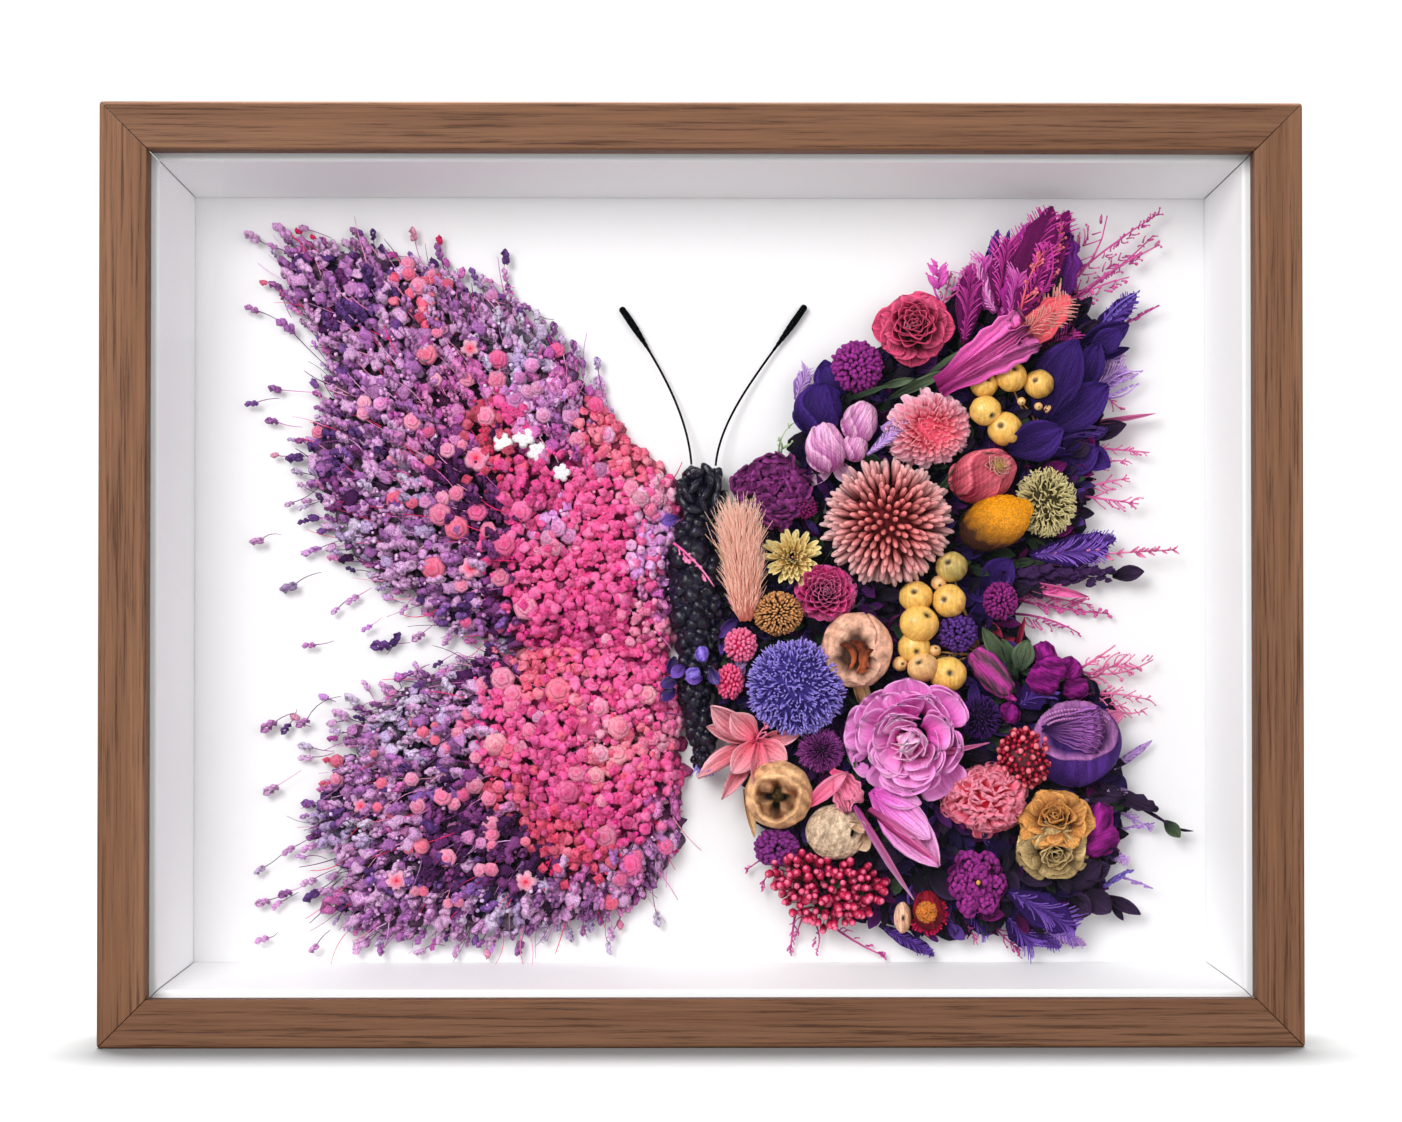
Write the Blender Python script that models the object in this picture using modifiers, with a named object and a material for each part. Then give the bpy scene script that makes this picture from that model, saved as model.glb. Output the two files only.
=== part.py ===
"""Pressed flower frame: a deep wooden box frame that holds a butterfly laid out in dried flowers.

Metres, +Z up. The frame stands on its bottom edge with the origin under its middle, and faces -Y.
The left wing is a mound of tiny florets, the right wing is larger flowers on a bed of leaves.
"""
import math

import bmesh
import bpy
from mathutils import Matrix, Vector

MM = 0.001
GAP = 0.3 * MM                 # between pieces that touch

# Wooden frame
FRAME_WIDTH = 400 * MM
FRAME_HEIGHT = 314 * MM
FRAME_DEPTH = 58 * MM
FACE_WIDTH = 16 * MM           # what the front view shows of each rail
LIP_DEPTH = 8 * MM             # thickness of the lip in front of the rabbet
RABBET_WALL = 11 * MM          # thickness of a rail behind its lip
CORNER_RADIUS = 1.2 * MM
LIP_CHAMFER = 0.5 * MM

# Pane, liner and boards
PANE_THICKNESS = 2 * MM
LINER_SHOWING = 2.3 * MM       # how far the liner's front edge stands in from the lip
LINER_SPLAY = 5.4 * MM         # how far its face leans in from front to back
LINER_ROUNDING = 1.3 * MM
PANEL_FROM_FRONT = 50 * MM
BOARD_THICKNESS = 2.5 * MM

# Hanger on the back of the top rail
HANGER_LENGTH = 42 * MM
HANGER_HEIGHT = 8 * MM
HANGER_THICKNESS = 1 * MM
HANGER_TEETH = 7
TOOTH_DEPTH = 2 * MM

BACK_Y = (FRAME_DEPTH - GAP - HANGER_THICKNESS) / 2
FRONT_Y = BACK_Y - FRAME_DEPTH
PANE_Y = FRONT_Y + LIP_DEPTH + GAP
LINER_Y = PANE_Y + PANE_THICKNESS + GAP
PANEL_Y = FRONT_Y + PANEL_FROM_FRONT
BACKING_Y = PANEL_Y + BOARD_THICKNESS + GAP
INSET = RABBET_WALL + GAP      # where pane, liner and boards start, in from the outside

# Specimens: heights are counted from the panel towards the glass, in mm
HEAP_HEIGHT = 15.0
BED_HEIGHT = 6.0
ON_BED = 6.3
ON_PANEL = 0.3
WAIST = 0.36                   # where a flower head is widest, as a share of its height
EYE_WIDTH = 0.35               # of the part of an open flower that its dent presses in
RIPPLE = 0.12                  # depth of the ripples on a heap, as a share of its height
FINE_FROM = 15.3               # half length in mm from which a round head has the finer ball
WIRE_RADIUS = 0.35 * MM
CLUB_RADIUS = 1.35 * MM

model = bpy.data.collections.new("pressed_flower_frame")
cutters = bpy.data.collections.new("cutters")


# Scene and material helpers

def clear_scene():
    for old in list(bpy.data.objects):
        bpy.data.objects.remove(old, do_unlink=True)


def make_material(name, colour, roughness=0.7, metallic=0.0, alpha=1.0):
    material = bpy.data.materials.new(name)
    material.use_nodes = True
    shader = material.node_tree.nodes["Principled BSDF"]
    shader.inputs["Base Color"].default_value = (*colour, 1.0)
    shader.inputs["Roughness"].default_value = roughness
    shader.inputs["Metallic"].default_value = metallic
    shader.inputs["Alpha"].default_value = alpha
    return material


def add_object(name, mesh, material, collection=None, smooth=False):
    item = bpy.data.objects.new(name, mesh)
    (collection or model).objects.link(item)
    if material:
        mesh.materials.append(material)
    if smooth:
        mesh.shade_smooth()
        mesh.set_sharp_from_angle(angle=math.radians(40))
    return item


def mesh_from(bm, name):
    bmesh.ops.recalc_face_normals(bm, faces=bm.faces)
    mesh = bpy.data.meshes.new(name)
    bm.to_mesh(mesh)
    bm.free()
    return mesh


def as_cutter(item):
    item.hide_render = True
    item.display_type = "WIRE"
    return item


def add_boolean(item, tool, operation):
    cut = item.modifiers.new(tool.name, "BOOLEAN")
    cut.operation = operation
    cut.object = tool


def box(name, low, high, material, collection=None):
    bm = bmesh.new()
    bmesh.ops.create_cube(bm, size=1)
    size = Vector(high) - Vector(low)
    bmesh.ops.scale(bm, vec=size, verts=bm.verts)
    bmesh.ops.translate(bm, vec=(Vector(high) + Vector(low)) / 2, verts=bm.verts)
    return add_object(name, mesh_from(bm, name), material, collection)


# Mitred rails and liner strips

SIDES = {                      # turn about Y, and the middle of the side's outer edge
    "bottom": (0, (0, 0, 0), FRAME_WIDTH),
    "right": (-90, (FRAME_WIDTH / 2, 0, FRAME_HEIGHT / 2), FRAME_HEIGHT),
    "top": (180, (0, 0, FRAME_HEIGHT), FRAME_WIDTH),
    "left": (90, (-FRAME_WIDTH / 2, 0, FRAME_HEIGHT / 2), FRAME_HEIGHT),
}


def section_prism(section, length):
    """A bar along X whose section is a flat outline of (distance in from the outside, y) points."""
    outline = bpy.data.curves.new("section", "CURVE")
    outline.dimensions = "2D"
    outline.fill_mode = "BOTH"
    outline.extrude = length / 2
    spline = outline.splines.new("POLY")
    spline.points.add(len(section) - 1)
    for point, (inward, y) in zip(spline.points, section):
        point.co = (inward, y, 0, 1)
    spline.use_cyclic_u = True
    guide = bpy.data.objects.new("section", outline)
    model.objects.link(guide)
    bpy.context.view_layer.update()
    depsgraph = bpy.context.evaluated_depsgraph_get()
    mesh = bpy.data.meshes.new_from_object(guide.evaluated_get(depsgraph))
    bpy.data.objects.remove(guide, do_unlink=True)
    bm = bmesh.new()
    bm.from_mesh(mesh)
    bpy.data.meshes.remove(mesh)
    bmesh.ops.remove_doubles(bm, verts=bm.verts, dist=0.01 * MM)
    lie_along_x = Matrix(((0, 0, -1), (0, 1, 0), (1, 0, 0)))
    bmesh.ops.transform(bm, matrix=lie_along_x.to_4x4(), verts=bm.verts)
    return bm


def mitred_bar(name, side, section, material):
    turn, middle, run = SIDES[side]
    bm = section_prism(section, run + 2 * FACE_WIDTH)
    for end in (-1, 1):
        normal = Vector((end, 0, 1)).normalized()
        corner = Vector((end * run / 2, 0, 0)) - normal * GAP / 2
        cut = bmesh.ops.bisect_plane(bm, geom=bm.verts[:] + bm.edges[:] + bm.faces[:], dist=0.001 * MM,
                                     plane_co=corner, plane_no=normal, clear_outer=True)
        rim = [edge for edge in cut["geom_cut"] if isinstance(edge, bmesh.types.BMEdge)]
        bmesh.ops.holes_fill(bm, edges=rim, sides=0)
    place = Matrix.Translation(middle) @ Matrix.Rotation(math.radians(turn), 4, "Y")
    bmesh.ops.transform(bm, matrix=place, verts=bm.verts)
    return add_object(name, mesh_from(bm, name), material)


def rounded_block(name):
    """The frame's outer form: the rails are cut back to it, which rounds their outer edges."""
    block = box(name, (-FRAME_WIDTH / 2, FRONT_Y, 0), (FRAME_WIDTH / 2, BACK_Y, FRAME_HEIGHT), None, cutters)
    rounding = block.modifiers.new("rounding", "BEVEL")
    rounding.width = CORNER_RADIUS
    rounding.segments = 3
    return as_cutter(block)


def build_rails():
    outside = -1 * MM          # blanks stand proud and are cut back to the rounded block
    section = [
        (outside, FRONT_Y - 1 * MM), (FACE_WIDTH - LIP_CHAMFER, FRONT_Y - 1 * MM),
        (FACE_WIDTH - LIP_CHAMFER, FRONT_Y), (FACE_WIDTH, FRONT_Y + LIP_CHAMFER),
        (FACE_WIDTH, FRONT_Y + LIP_DEPTH), (RABBET_WALL, FRONT_Y + LIP_DEPTH),
        (RABBET_WALL, BACK_Y + 1 * MM), (outside, BACK_Y + 1 * MM),
    ]
    oak = (0.225, 0.112, 0.062)
    block = rounded_block("frame_block")
    for side in SIDES:
        rail = mitred_bar("rail_" + side, side, section, make_material("oak_" + side, oak, 0.55))
        add_boolean(rail, block, "INTERSECT")


def build_liner():
    front = FACE_WIDTH + LINER_SHOWING
    back_y = PANEL_Y - GAP
    arc = []
    for step in range(5):
        angle = math.radians(90 * step / 4)
        inward = front - LINER_ROUNDING * (1 - math.sin(angle))
        arc.append((inward, LINER_Y + LINER_ROUNDING * (1 - math.cos(angle))))
    section = [(INSET, LINER_Y)] + arc + [(front + LINER_SPLAY, back_y), (INSET, back_y)]
    white = (0.86, 0.86, 0.87)
    for side in SIDES:
        mitred_bar("liner_" + side, side, section, make_material("liner_paint_" + side, white, 0.5))


def build_boards():
    low_x, high_x = INSET - FRAME_WIDTH / 2, FRAME_WIDTH / 2 - INSET
    low_z, high_z = INSET, FRAME_HEIGHT - INSET
    box("glass_pane", (low_x, PANE_Y, low_z), (high_x, PANE_Y + PANE_THICKNESS, high_z),
        make_material("clear_glass", (0.9, 0.95, 0.95), 0.02, alpha=0.1))
    box("mount_board", (low_x, PANEL_Y, low_z), (high_x, PANEL_Y + BOARD_THICKNESS, high_z),
        make_material("white_board", (0.88, 0.88, 0.88), 0.8))
    box("backing_board", (low_x, BACKING_Y, low_z), (high_x, BACKING_Y + BOARD_THICKNESS, high_z),
        make_material("hardboard", (0.2, 0.11, 0.06), 0.8))


def build_hanger():
    """A sawtooth plate: a strip whose lower edge is pulled down between the teeth."""
    bm = bmesh.new()
    bmesh.ops.create_grid(bm, x_segments=2 * HANGER_TEETH, y_segments=1, size=0.5)
    for vert in bm.verts:
        step = round((vert.co.x + 0.5) * 2 * HANGER_TEETH)
        tooth = TOOTH_DEPTH if vert.co.y < 0 and step % 2 else 0
        vert.co = Vector((vert.co.x * HANGER_LENGTH, 0, vert.co.y * HANGER_HEIGHT + tooth))
    plate = bmesh.ops.extrude_face_region(bm, geom=bm.faces[:])
    lifted = [item for item in plate["geom"] if isinstance(item, bmesh.types.BMVert)]
    bmesh.ops.translate(bm, vec=(0, HANGER_THICKNESS, 0), verts=lifted)
    middle = (0, BACK_Y + GAP, FRAME_HEIGHT - RABBET_WALL / 2)
    bmesh.ops.translate(bm, vec=middle, verts=bm.verts)
    steel = make_material("steel", (0.5, 0.5, 0.52), 0.4, metallic=1.0)
    add_object("sawtooth_hanger", mesh_from(bm, "sawtooth_hanger"), steel)


# Specimen forms. Each is made about its own axis, +Z out of the panel, and cut flat at z = 0.

def cut_flat(bm):
    bmesh.ops.bisect_plane(bm, geom=bm.verts[:] + bm.edges[:] + bm.faces[:], dist=0.01 * MM,
                           plane_co=(0, 0, 0), plane_no=(0, 0, 1), clear_inner=True)
    rim = [edge for edge in bm.edges if edge.is_boundary]
    bmesh.ops.holes_fill(bm, edges=rim, sides=0)


def fit_dome(bm, across, up, height):
    """A unit ball becomes a dome of the given half width, half length and height, in mm."""
    bmesh.ops.scale(bm, vec=(across * MM, up * MM, (1 - WAIST) * height * MM), verts=bm.verts)
    bmesh.ops.translate(bm, vec=(0, 0, WAIST * height * MM), verts=bm.verts)
    cut_flat(bm)
    return bm


def lumpy_dome(across, up, height, relief=0.08):
    """Rounded heads and pods: the corners of a ball are drawn in, finer on a large one."""
    bm = bmesh.new()
    detail = 3 if up > FINE_FROM else 2
    bmesh.ops.create_icosphere(bm, subdivisions=detail, radius=1)
    for vert in bm.verts:
        if len(vert.link_edges) == 5 or (detail == 3 and vert.index % 3 == 0):
            vert.co *= 1 - relief
    return fit_dome(bm, across, up, height)


def spiky_dome(across, up, height, spike):
    """A thistle, spiky ball or berry cluster: each face of a ball is raised to a point."""
    bm = bmesh.new()
    bmesh.ops.create_icosphere(bm, subdivisions=2, radius=1 - spike)
    bmesh.ops.poke(bm, faces=bm.faces[:], offset=spike)
    for vert in bm.verts:
        vert.co = vert.co.normalized() * min(vert.co.length, 1.0)
    return fit_dome(bm, across, up, height)


def petal_dome(across, up, height, petals=8, scallop=0.15, dent=0.0):
    """Open flowers: each ring of the ball is drawn in between petals, and the eye is pressed in."""
    rings = 4 if up > 10 else 3
    bm = bmesh.new()
    bmesh.ops.create_uvsphere(bm, u_segments=2 * petals, v_segments=2 * rings, radius=1)
    for vert in bm.verts:
        angle = math.atan2(vert.co.x, vert.co.y)
        polar = math.acos(max(-1.0, min(1.0, vert.co.z)))
        ring = round(polar * 2 * rings / math.pi)
        between = 0.5 - 0.5 * math.cos(petals * angle + math.pi * (ring % 2))
        eye = 1 - dent * math.exp(-(math.sin(polar) / EYE_WIDTH) ** 2) if vert.co.z > 0 else 1
        vert.co *= 1 - scallop * between
        vert.co.z *= eye
    return fit_dome(bm, across, up, height)


def mound(outline, centre, height, rim, rings, waves, slope):
    """A heap over an outline of (x, z) points in mm: its edge ring is raised and drawn in, ring by ring."""
    bm = bmesh.new()
    bmesh.ops.create_circle(bm, segments=len(outline), radius=1)
    for vert, (x, z) in zip(bm.verts, outline):
        vert.co = Vector((x * MM, z * MM, 0))
    bmesh.ops.subdivide_edges(bm, edges=bm.edges[:], cuts=1)
    middle = Vector((centre[0] * MM, centre[1] * MM, 0))
    edge = bm.edges[:]
    bmesh.ops.contextual_create(bm, geom=edge)
    for ring in range(rings):
        raised = bmesh.ops.extrude_edge_only(bm, edges=edge)["geom"]
        edge = [item for item in raised if isinstance(item, bmesh.types.BMEdge)]
        drawn_in = (rings - ring) / (rings - max(0, ring - 1))
        lift = rim + (height - rim) * min(1.0, slope * ring / rings)
        for vert in [item for item in raised if isinstance(item, bmesh.types.BMVert)]:
            spot = vert.co.to_2d().to_3d()
            spot = middle + (spot - middle) * (drawn_in if ring else 1)
            ripple = math.sin(waves * spot.x) * math.sin(waves * spot.y)
            vert.co = Vector((spot.x, spot.y, (lift + RIPPLE * height * (ripple - 1)) * MM))
    top = bmesh.ops.contextual_create(bm, geom=edge)["faces"]
    bmesh.ops.poke(bm, faces=top)
    return bm


def add_specimen(name, bm, x, z, lift, colour, spin=0, roughness=0.75):
    """Sets a form on the panel: x and z in mm in the frame's front view, lift in mm above the panel."""
    bmesh.ops.rotate(bm, matrix=Matrix.Rotation(math.radians(spin), 3, "Z"), verts=bm.verts)
    item = add_object(name, mesh_from(bm, name), make_material(name, colour, roughness), smooth=True)
    item.parent = panel_face
    item.location = (x * MM, z * MM, lift * MM)
    return item


# The butterfly's middle

def build_body():
    black = (0.012, 0.008, 0.02)
    add_specimen("head", lumpy_dome(8.4, 7.4, 15, 0.12), 0.2, 188.5, ON_PANEL, black, roughness=0.35)
    half_length = 40.5
    trunk = lumpy_dome(7.8, half_length, 14, 0.06)
    for vert in trunk.verts:
        along = vert.co.y / (half_length * MM)
        taper = 0.28 * max(0.0, 0.5 - along) / 1.5
        vert.co.x *= 1.0 - taper + 0.05 * math.sin(21 * along)
        vert.co.z *= 1.0 + 0.10 * math.sin(21 * along)
    add_specimen("body", trunk, 0.8, 139.5, ON_PANEL, black, spin=1.5, roughness=0.35)


def antenna(name, route, colour):
    """Black wire from the head to a small club: a tube that swells before its tip."""
    wire = bpy.data.curves.new(name, "CURVE")
    wire.dimensions = "3D"
    wire.bevel_depth = WIRE_RADIUS
    wire.bevel_resolution = 2
    wire.use_fill_caps = True
    spline = wire.splines.new("POLY")
    spline.points.add(len(route) - 1)
    swell = {-1: 0.5, -2: 0.95, -3: 1.0, -4: 0.55}
    for index, (point, (x, z, lift)) in enumerate(zip(spline.points, route)):
        point.co = (x * MM, z * MM, lift * MM, 1)
        share = swell.get(index - len(route), 0)
        point.radius = max(1.0, share * CLUB_RADIUS / WIRE_RADIUS)
    wire.materials.append(make_material(name, colour, 0.3))
    item = bpy.data.objects.new(name, wire)
    model.objects.link(item)
    item.parent = panel_face


def build_antennae():
    black = (0.01, 0.01, 0.012)
    left = [(-3.2, 196.6, 7.5), (-5, 207, 5.2), (-9, 219, 3.6), (-14, 230.5, 2.7), (-20, 239.4, 2.2),
            (-22.2, 243, 2.1), (-24.5, 246.6, 2.1), (-26.6, 250.2, 2.1)]
    right = [(5.0, 196.2, 7.5), (8, 207, 5.2), (13.5, 219, 3.6), (20, 230.5, 2.7), (28.2, 239.6, 2.2),
             (30.4, 243, 2.1), (32.8, 246.8, 2.1), (35, 250.4, 2.1)]
    antenna("antenna_left", left, black)
    antenna("antenna_right", right, black)


# Wings: outlines are (x, z) points in mm in the front view, clockwise from the top left

UPPER_LEFT = [(-146, 272), (-132, 273), (-110, 273), (-93, 272), (-70, 260), (-54, 246), (-36, 224),
              (-20, 202), (-11, 190), (-9.5, 170), (-10, 146), (-21, 134), (-49, 134), (-80, 137),
              (-104, 143), (-121, 153), (-138, 169), (-134, 191), (-142, 205), (-140, 216),
              (-136, 233), (-139, 252), (-145, 263)]
LOWER_LEFT = [(-104, 119), (-76, 130), (-49, 131), (-21, 131), (-9.5, 122), (-7, 101), (-4, 89),
              (-7, 70), (-16, 52), (-31, 39), (-52, 35), (-87, 32), (-120, 33), (-136, 38), (-130, 51),
              (-137, 68), (-129, 89), (-125, 105)]
UPPER_RIGHT = [(10.5, 191), (21, 205), (33, 225), (45, 239), (62, 254), (82, 265), (101, 277), (122, 285),
               (130, 275), (128, 260), (158, 253), (141, 238), (138, 228), (151, 219), (144, 206),
               (138, 186), (149, 169), (153, 160), (118, 153), (108, 150), (90, 151), (69, 151),
               (45, 151), (21, 151), (11, 151), (10.5, 171)]
LOWER_RIGHT = [(10.5, 148), (45, 149), (69, 149), (106, 147), (110, 136), (125, 131), (156, 125),
               (144, 113), (146, 94), (168, 71), (146, 63), (156, 53), (150, 41), (132, 31), (111, 29),
               (80, 29), (62, 35), (45, 37), (31, 36), (23, 56), (15, 77), (14, 84), (8.5, 94), (10.5, 115)]


def build_wings():
    dusky = (0.11, 0.045, 0.17)
    leaf = (0.035, 0.015, 0.07)
    heap = {"height": HEAP_HEIGHT, "rim": 4, "rings": 7, "waves": 620, "slope": 1.4}
    bed = {"height": BED_HEIGHT, "rim": 2, "rings": 3, "waves": 300, "slope": 9}
    add_specimen("upper_left_wing", mound(UPPER_LEFT, (-76, 205), **heap), 0, 0, ON_PANEL, dusky)
    add_specimen("lower_left_wing", mound(LOWER_LEFT, (-68, 82), **heap), 0, 0, ON_PANEL, dusky)
    add_specimen("upper_right_bed", mound(UPPER_RIGHT, (80, 202), **bed), 0, 0, ON_PANEL, leaf)
    add_specimen("lower_right_bed", mound(LOWER_RIGHT, (70, 91), **bed), 0, 0, ON_PANEL, leaf)


# Right wing flowers: x, z, half width, half length, height in mm, then the form's own values

OPEN_FLOWERS = {               # petals, scallop, dent
    "rose": (73.8, 242.2, 13.0, 13.0, 18, 7, 0.14, 0.3, (0.42, 0.05, 0.09)),
    "dahlia": (78.0, 209.6, 13.4, 13.4, 16, 10, 0.16, 0.2, (0.72, 0.14, 0.24)),
    "orchid_tulip": (50.2, 203.4, 11.6, 9.6, 13, 5, 0.24, 0.1, (0.5, 0.14, 0.38)),
    "violet_petals": (41.5, 218.4, 8.4, 7.6, 9, 5, 0.25, 0.0, (0.06, 0.01, 0.17)),
    "strawflower": (30.6, 164.6, 9.2, 9.2, 12, 9, 0.16, 0.35, (0.7, 0.5, 0.12)),
    "ranunculus": (43.8, 151.2, 9.4, 8.6, 15, 7, 0.14, 0.25, (0.5, 0.04, 0.18)),
    "peony": (70.4, 99.4, 20.2, 20.2, 20, 9, 0.18, 0.15, (0.62, 0.16, 0.5)),
    "aster": (41.0, 97.0, 9.0, 8.2, 11, 10, 0.25, 0.4, (0.18, 0.03, 0.22)),
    "lily": (15.5, 99.0, 9.2, 10.0, 9, 7, 0.5, 0.2, (0.75, 0.25, 0.4)),
    "carnation": (96.6, 80.4, 12.9, 12.9, 16, 9, 0.2, 0.1, (0.65, 0.14, 0.24)),
    "dried_rose": (122.4, 68.6, 13.4, 14.4, 16, 7, 0.24, 0.25, (0.42, 0.24, 0.11)),
    "violet_tulip": (132.2, 103.4, 11.6, 14.4, 15, 6, 0.16, 0.2, (0.12, 0.02, 0.25)),
    "hydrangea": (95.2, 50.8, 10.6, 11.2, 12, 8, 0.18, 0.0, (0.3, 0.03, 0.33)),
}
ROUND_HEADS = {                # relief
    "globe_amaranth": (54.6, 230.6, 7.6, 7.6, 13, 0.14, (0.3, 0.02, 0.26)),
    "statice_cluster": (28.6, 189.6, 10.6, 15.2, 11, 0.16, (0.2, 0.01, 0.13)),
    "half_open_bud": (95.4, 192.4, 11.2, 9.2, 16, 0.05, (0.5, 0.07, 0.08)),
    "orange_pod": (103.6, 175.4, 12.2, 8.2, 17, 0.0, (0.62, 0.28, 0.01)),
    "tan_ball": (26.2, 144.2, 7.2, 7.2, 13, 0.08, (0.27, 0.14, 0.04)),
    "pink_globe_upper": (13.6, 135.0, 4.8, 5.6, 10, 0.12, (0.7, 0.06, 0.2)),
    "pink_globe_lower": (11.6, 122.6, 4.4, 5.8, 10, 0.12, (0.7, 0.06, 0.2)),
    "blue_pompon": (32.0, 118.6, 15.4, 15.4, 18, 0.04, (0.13, 0.1, 0.55)),
    "violet_globe": (89.4, 137.4, 6.4, 6.4, 12, 0.12, (0.12, 0.02, 0.3)),
    "magenta_globe": (104.6, 149.6, 6.6, 6.6, 11, 0.14, (0.3, 0.02, 0.25)),
    "tan_pod": (47.4, 71.4, 9.8, 9.2, 13, 0.1, (0.5, 0.36, 0.2)),
    "purple_ball": (25.8, 64.2, 8.0, 8.0, 11, 0.14, (0.2, 0.02, 0.24)),
    "deep_purple_ball": (97.6, 110.6, 7.6, 7.6, 12, 0.14, (0.1, 0.01, 0.12)),
}
SPIKY_HEADS = {                # spike, as a share of the radius
    "globe_thistle": (64.4, 176.4, 22.4, 22.4, 24, 0.2, (0.42, 0.13, 0.14)),
    "olive_spiky_ball": (122.0, 185.4, 10.2, 10.2, 12, 0.2, (0.24, 0.19, 0.06)),
    "pepper_berries": (43.4, 49.0, 16.6, 9.6, 11, 0.12, (0.34, 0.01, 0.06)),
    "crimson_berries": (112.6, 95.6, 7.6, 7.6, 16, 0.12, (0.4, 0.01, 0.05)),
    "orange_bud": (76.6, 42.6, 6.9, 7.4, 13, 0.1, (0.5, 0.09, 0.03)),
}
LYING_FORMS = {                # half length first, then half width, height and turn
    "plume_flower": (108.4, 265.4, 21.5, 10.2, 12, 44, (0.42, 0.05, 0.28)),
    "ribbed_leaf_pod": (98.6, 234.6, 20.0, 4.6, 9, 25, (0.42, 0.03, 0.18)),
    "bunny_tail": (14.4, 159.4, 18.4, 5.5, 12, 92, (0.75, 0.4, 0.32)),
    "orchid_leaf": (66.6, 71.6, 11.0, 4.4, 9, -48, (0.42, 0.14, 0.42)),
}
OPEN_PODS = {                  # radius, height, ribs
    "open_pod": (54.8, 133.4, 10.6, 17, 7, (0.52, 0.33, 0.2)),
    "poppy_pod": (26.6, 82.0, 10.6, 17, 6, (0.36, 0.24, 0.1)),
}
YELLOW = (0.52, 0.32, 0.08)
UPPER_BERRIES = [(105.5, 221.9, 5.9), (96.8, 222.8, 5.2), (115.2, 222.6, 5.5), (97.0, 213.8, 5.6),
                 (104.6, 207.9, 5.4)]
LOWER_BERRIES = [(78.8, 147.4, 6.2), (88.6, 150.6, 6.3), (74.0, 139.6, 6.4), (91.4, 160.6, 5.4),
                 (73.0, 131.6, 5.3), (76.0, 124.0, 5.4), (83.6, 123.6, 5.9)]


def build_berries(name, berries):
    """Berries of one sprig touch and are joined, so the first is united with the rest."""
    first = None
    for number, (x, z, radius) in enumerate(berries):
        bm = bmesh.new()
        bmesh.ops.create_uvsphere(bm, u_segments=9, v_segments=6, radius=radius * MM)
        bmesh.ops.rotate(bm, matrix=Matrix.Rotation(0.4 * number, 3, "Z"), verts=bm.verts)
        height = ON_BED + radius
        if first is None:
            first = add_specimen(name, bm, x, z, height, YELLOW, roughness=0.35)
            continue
        berry = add_object(f"{name}_{number}", mesh_from(bm, name), None, cutters)
        berry.parent = panel_face
        berry.location = (x * MM, z * MM, height * MM)
        add_boolean(first, as_cutter(berry), "UNION")


def build_open_pods():
    """Papery pods that have split at the top: a ribbed ball whose mouth is pressed deep into it."""
    for name, (x, z, radius, height, ribs, colour) in OPEN_PODS.items():
        pod = petal_dome(radius, radius, height, ribs, scallop=0.1, dent=0.75)
        add_specimen(name, pod, x, z, ON_BED, colour, spin=20, roughness=0.6)


def build_right_wing():
    for name, (x, z, across, up, height, petals, scallop, dent, colour) in OPEN_FLOWERS.items():
        add_specimen(name, petal_dome(across, up, height, petals, scallop, dent), x, z, ON_BED, colour)
    for name, (x, z, across, up, height, relief, colour) in ROUND_HEADS.items():
        add_specimen(name, lumpy_dome(across, up, height, relief), x, z, ON_BED, colour)
    for name, (x, z, across, up, height, spike, colour) in SPIKY_HEADS.items():
        add_specimen(name, spiky_dome(across, up, height, spike), x, z, ON_BED, colour)
    for name, (x, z, length, width, height, turn, colour) in LYING_FORMS.items():
        add_specimen(name, petal_dome(length, width, height, 8, 0.3), x, z, ON_BED, colour, spin=turn)
    build_open_pods()
    build_berries("upper_berry_sprig", UPPER_BERRIES)
    build_berries("lower_berry_sprig", LOWER_BERRIES)


clear_scene()
bpy.context.scene.collection.children.link(model)
bpy.context.scene.collection.children.link(cutters)

# Children of this empty are placed by (x, z, lift): its own X is right, Y is up and Z is out of the panel
panel_face = bpy.data.objects.new("panel_face", None)
model.objects.link(panel_face)
panel_face.location = (0, PANEL_Y, 0)
panel_face.rotation_euler = (math.radians(90), 0, 0)

build_rails()
build_liner()
build_boards()
build_hanger()
build_body()
build_antennae()
build_wings()
build_right_wing()
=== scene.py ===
import math

import bmesh
import bpy
import numpy as np
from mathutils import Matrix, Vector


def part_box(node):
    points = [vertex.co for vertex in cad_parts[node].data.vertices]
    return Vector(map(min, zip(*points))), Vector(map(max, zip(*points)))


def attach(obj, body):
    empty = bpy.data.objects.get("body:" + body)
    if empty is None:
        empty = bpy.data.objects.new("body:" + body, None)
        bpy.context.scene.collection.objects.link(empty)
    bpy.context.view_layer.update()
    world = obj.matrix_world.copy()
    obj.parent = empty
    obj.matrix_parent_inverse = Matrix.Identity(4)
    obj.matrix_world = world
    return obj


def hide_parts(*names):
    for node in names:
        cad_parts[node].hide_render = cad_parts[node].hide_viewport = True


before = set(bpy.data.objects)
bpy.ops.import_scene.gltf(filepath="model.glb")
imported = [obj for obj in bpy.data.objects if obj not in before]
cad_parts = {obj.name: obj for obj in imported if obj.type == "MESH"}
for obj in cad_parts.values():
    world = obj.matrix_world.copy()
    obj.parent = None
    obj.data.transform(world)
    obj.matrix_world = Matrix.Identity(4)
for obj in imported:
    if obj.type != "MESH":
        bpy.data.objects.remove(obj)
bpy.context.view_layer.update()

# Pressed flower frame: butterfly of dried flowers in a shadow box.
# Specimens are worked out in mm on the panel: x to the right, z up, lift off the panel's face.

mm = 0.001
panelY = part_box("mount_board")[0].y
goldenAngle = math.radians(137.508)
wholeTurn, spinRange = 6.283, 6.3     # radians; a spin by chance may pass a whole turn
dice = np.random.default_rng(21)
upward = np.array((0.0, 0.0, 1.0))     # off the panel


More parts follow.
